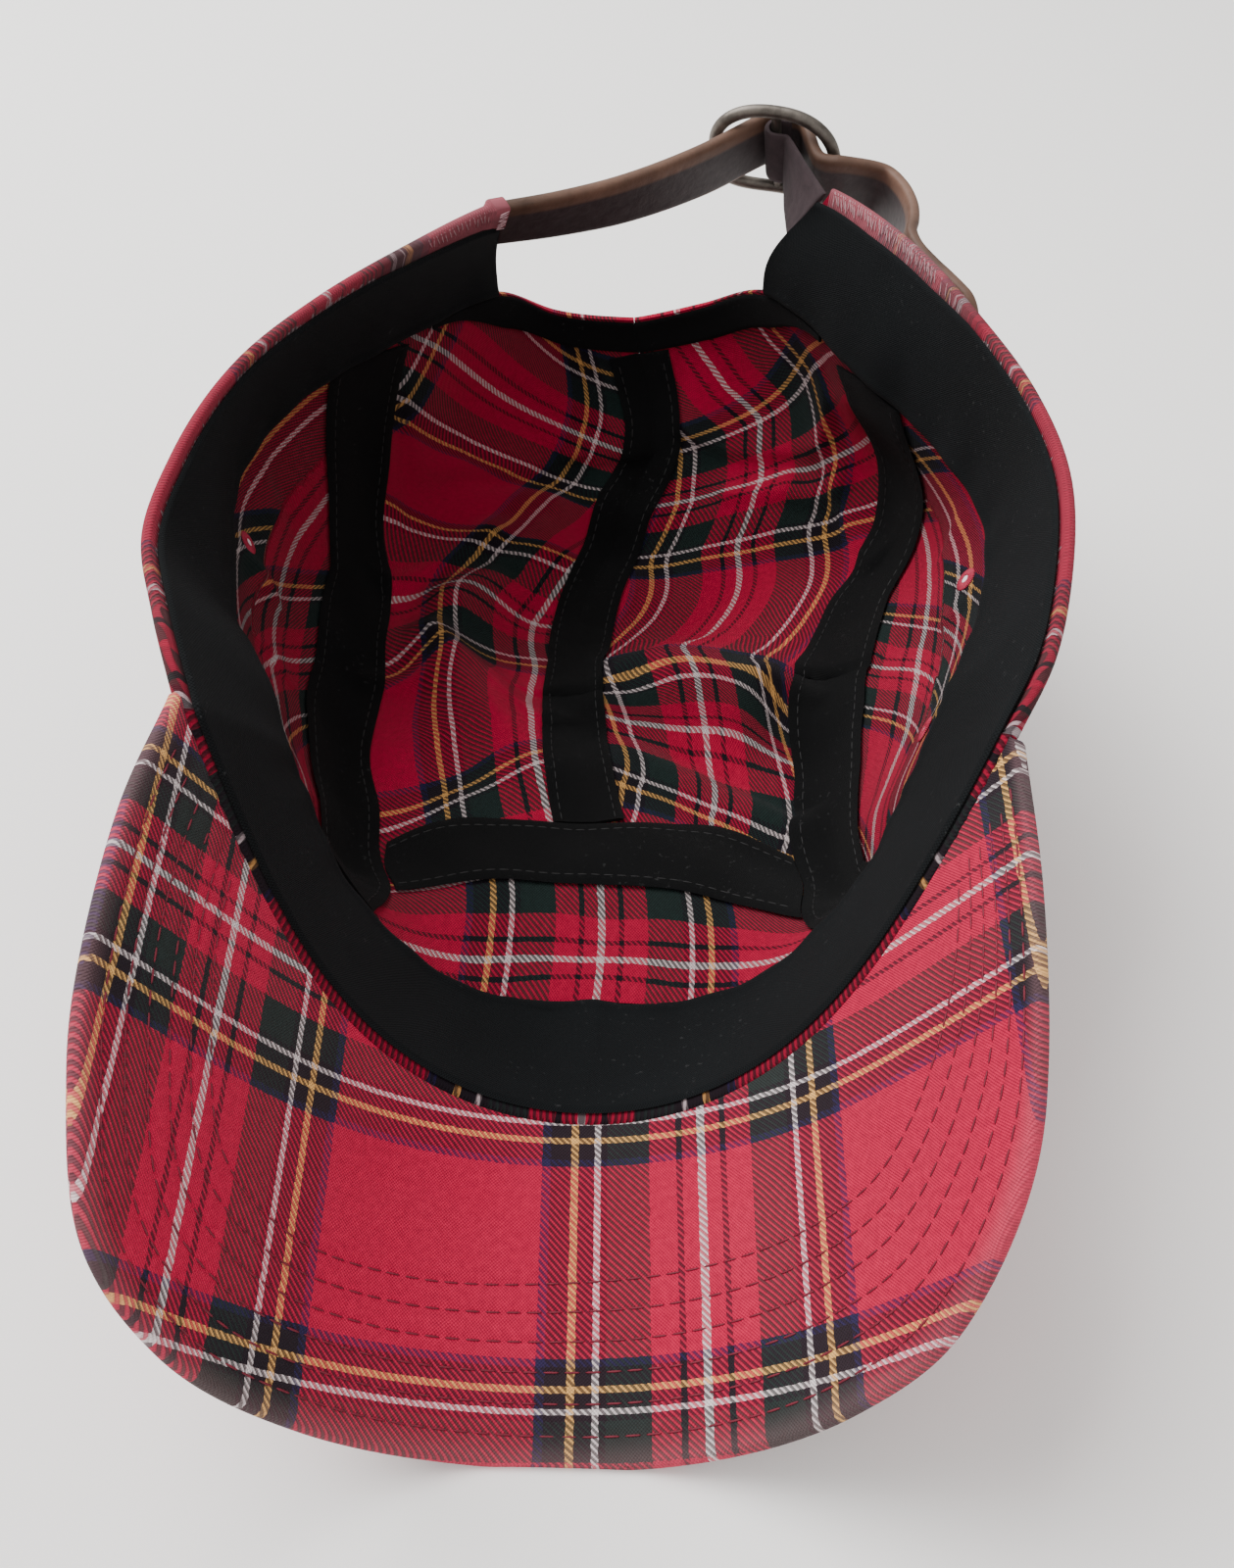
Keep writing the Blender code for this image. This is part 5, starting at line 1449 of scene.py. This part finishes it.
def eyelet(number, turn, rise):
    """Stitched ring round a vent hole."""
    xi, eta = disc(np.array([turn]), np.array([rise]))
    point = on_bowl(*polar(xi, eta))[0]
    normal = bowl_normal(xi, eta)[0]
    a = slopes(xi, eta)[0][0]
    first = unit(a - normal * (a @ normal))
    second = np.cross(normal, first)
    middle = point - normal * EYELET_LIFT
    inner = middle + HOLE_RADIUS * circle(EYELET_STITCHES, first, second)
    ways = spin(first, second, -EYELET_SLANT)
    outer = middle + EYELET_RADIUS * circle(EYELET_STITCHES, *ways) + normal * EYELET_SINK
    piece = rods(f"eyelet_{number}_thread", [(inner, outer)], EYELET_THREAD, eyelet_thread)
    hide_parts(f"eyelet_{number}")
    spot = point - normal * LIGHT_LIFT + LIGHT_RADIUS * circle(8, first, second)
    idx = np.arange(8)
    caps = np.array([[0, 1, 2, 3], [0, 3, 4, 7], [4, 5, 6, 7]])
    sides = np.stack([idx, (idx + 1) % 8, (idx + 1) % 8 + 8, idx + 8], -1)
    put(f"eyelet_{number}_hole", np.vstack([spot, spot + normal * EYELET_SINK]),
        np.vstack([caps, caps[:, ::-1] + 8, sides]), hole_light)
    return piece


def rim_ways(turn):
    """Points on the rim, with the ways along it, up out of it and off the bowl."""
    base = on_bowl(turn, 1.0)
    normal = bowl_normal(*disc(turn, 1.0))
    way = unit(np.gradient(base, axis=0))
    up = unit(np.cross(way, normal))
    return base, way, np.where(up[:, 2:] < 0, -up, up), normal


def strap_start():
    """Way of the strap where it leaves the rim."""
    line = strap_line()[0]
    return unit(line[6] - line[0])


def rim_roll():
    """Folded edge of the outer cloth, standing just above the sweatband all round."""
    turn = np.linspace(-OPENING_TURN, OPENING_TURN, ROLL_POINTS)
    base, _, up, normal = rim_ways(turn)
    past = np.array(WRAP_STEPS)
    base = np.vstack([base[0] + past[:, None] * strap_start(), base])
    up, normal = (np.vstack([np.repeat(way[:1], len(past), axis=0), way]) for way in (up, normal))
    turn = np.concatenate([-OPENING_TURN - past / RIM_HALF_WIDTH, turn])
    wide = ramp(-turn, OPENING_TURN - WRAP_TURNS[0], OPENING_TURN - WRAP_TURNS[1])
    across = np.radians(np.abs(turn)) * ROLL_REACH / SETT
    along, rubbed = straight(ROLL_CLOTH, turn)
    points = []
    counts = []
    for row, (off, height) in enumerate(ROLL):
        aside = off + wide * (-WRAP[0] if off < ROLL_MIDDLE else WRAP[1])
        points.append(base + normal * aside[:, None] + up * height)
        counts.append(np.column_stack([across, along + row * ROLL_COUNT, rubbed]))
    rows = len(ROLL)
    faces = quads(rows + 1, len(turn)) % (rows * len(turn))
    return put("rim_fold", np.array(points), faces, edge_plaid_painted_shade,
               counts=np.vstack(counts))


def rim_whips():
    """Pale hand stitches that close the ends of the rim."""
    chance = np.random.default_rng(7)
    stitches = []
    for first, last, count, long in WHIPS:
        turn = np.linspace(first, last, count) + chance.uniform(-WHIP_SWAY, WHIP_SWAY, count)
        base, way, up, normal = rim_ways(turn)
        size = long * chance.uniform(*WHIP_SIZES, count)[:, None]
        slip = chance.uniform(*WHIP_SLIPS, count)[:, None] * WHIP_SLIP
        stitches.append((base - normal * WHIP_FOOT - up * size - way * slip,
                         base - normal * WHIP_HEAD + up * WHIP_TOP + way * slip))
    base, way, up, normal = (v[0] for v in rim_ways(-OPENING_TURN + np.array([0.5, 1.0])))
    for drop in np.linspace(*START_DROPS):
        middle = base + strap_start() * START_PLACE - up * drop - normal * START_OFF
        tilt = up * chance.uniform(-START_STRAY, START_STRAY)
        stitches.append((middle - way * START_REACH[0] + tilt,
                         middle + way * START_REACH[1] - tilt))
    return rods("rim_whip_stitches", stitches, WHIP_THREAD, pale_thread)


def build():
    """Make every piece."""
    crown_half("crown_left", -1, LEFT_CLOTH)
    crown_half("crown_right", 1, RIGHT_CLOTH)
    front_panel()
    for word, side in (("left", -1), ("right", 1)):
        side_panel(f"side_{word}", side)
        side_tape(f"side_tape_{word}", side)
    front_tape()
    center_tape()
    arch_binding()
    sweatband()
    rim_roll()
    rim_whips()
    peak_piece()
    peak_stitches()
    strap()
    strap_tab()
    buckle()
    for number, (turn, rise) in enumerate(EYELETS, 1):
        eyelet(number, turn, rise)


def stand(name, data, place=(0.0, 0.0, 0.0), look=None):
    """Put something in the room, turned to look along a way."""
    made = bpy.data.objects.new(name, data)
    bpy.context.collection.objects.link(made)
    made.location = place
    if look:
        made.rotation_euler = Vector(look).to_track_quat("-Z", "Y").to_euler()
    return made


def studio():
    """Pale floor, soft light and the camera."""
    floor = bpy.data.materials.new("pale_floor")
    floor.use_nodes = True
    shader = floor.node_tree.nodes["Principled BSDF"]
    shader.inputs["Base Color"].default_value = FLOOR_COLOUR
    shader.inputs["Roughness"].default_value = 0.7
    mesh = bpy.data.meshes.new("floor")
    half = FLOOR_HALF
    mesh.from_pydata([(-half, -half, 0), (half, -half, 0), (half, half, 0), (-half, half, 0)],
                     [], [(0, 1, 2, 3)])
    mesh.materials.append(floor)
    table = stand("floor", mesh)
    world = bpy.data.worlds.new("soft_room")
    bpy.context.scene.world = world
    world.use_nodes = True
    glow = world.node_tree.nodes["Background"].inputs
    glow["Color"].default_value = ROOM_COLOUR
    glow["Strength"].default_value = ROOM_STRENGTH
    for name, place, energy, size in LAMPS:
        lamp = bpy.data.lights.new(name, "AREA")
        lamp.energy = energy
        lamp.size = size
        stand(name, lamp, place, [-v for v in place])
    camera = bpy.data.cameras.new("camera")
    camera.sensor_width = 36.0
    camera.lens = CAMERA_LENS
    camera.clip_start = 0.01
    bpy.context.scene.camera = stand("camera", camera, Vector(CAMERA_PLACE) + Vector(SHIFT),
                                     CAMERA_LOOK)


build()
studio()
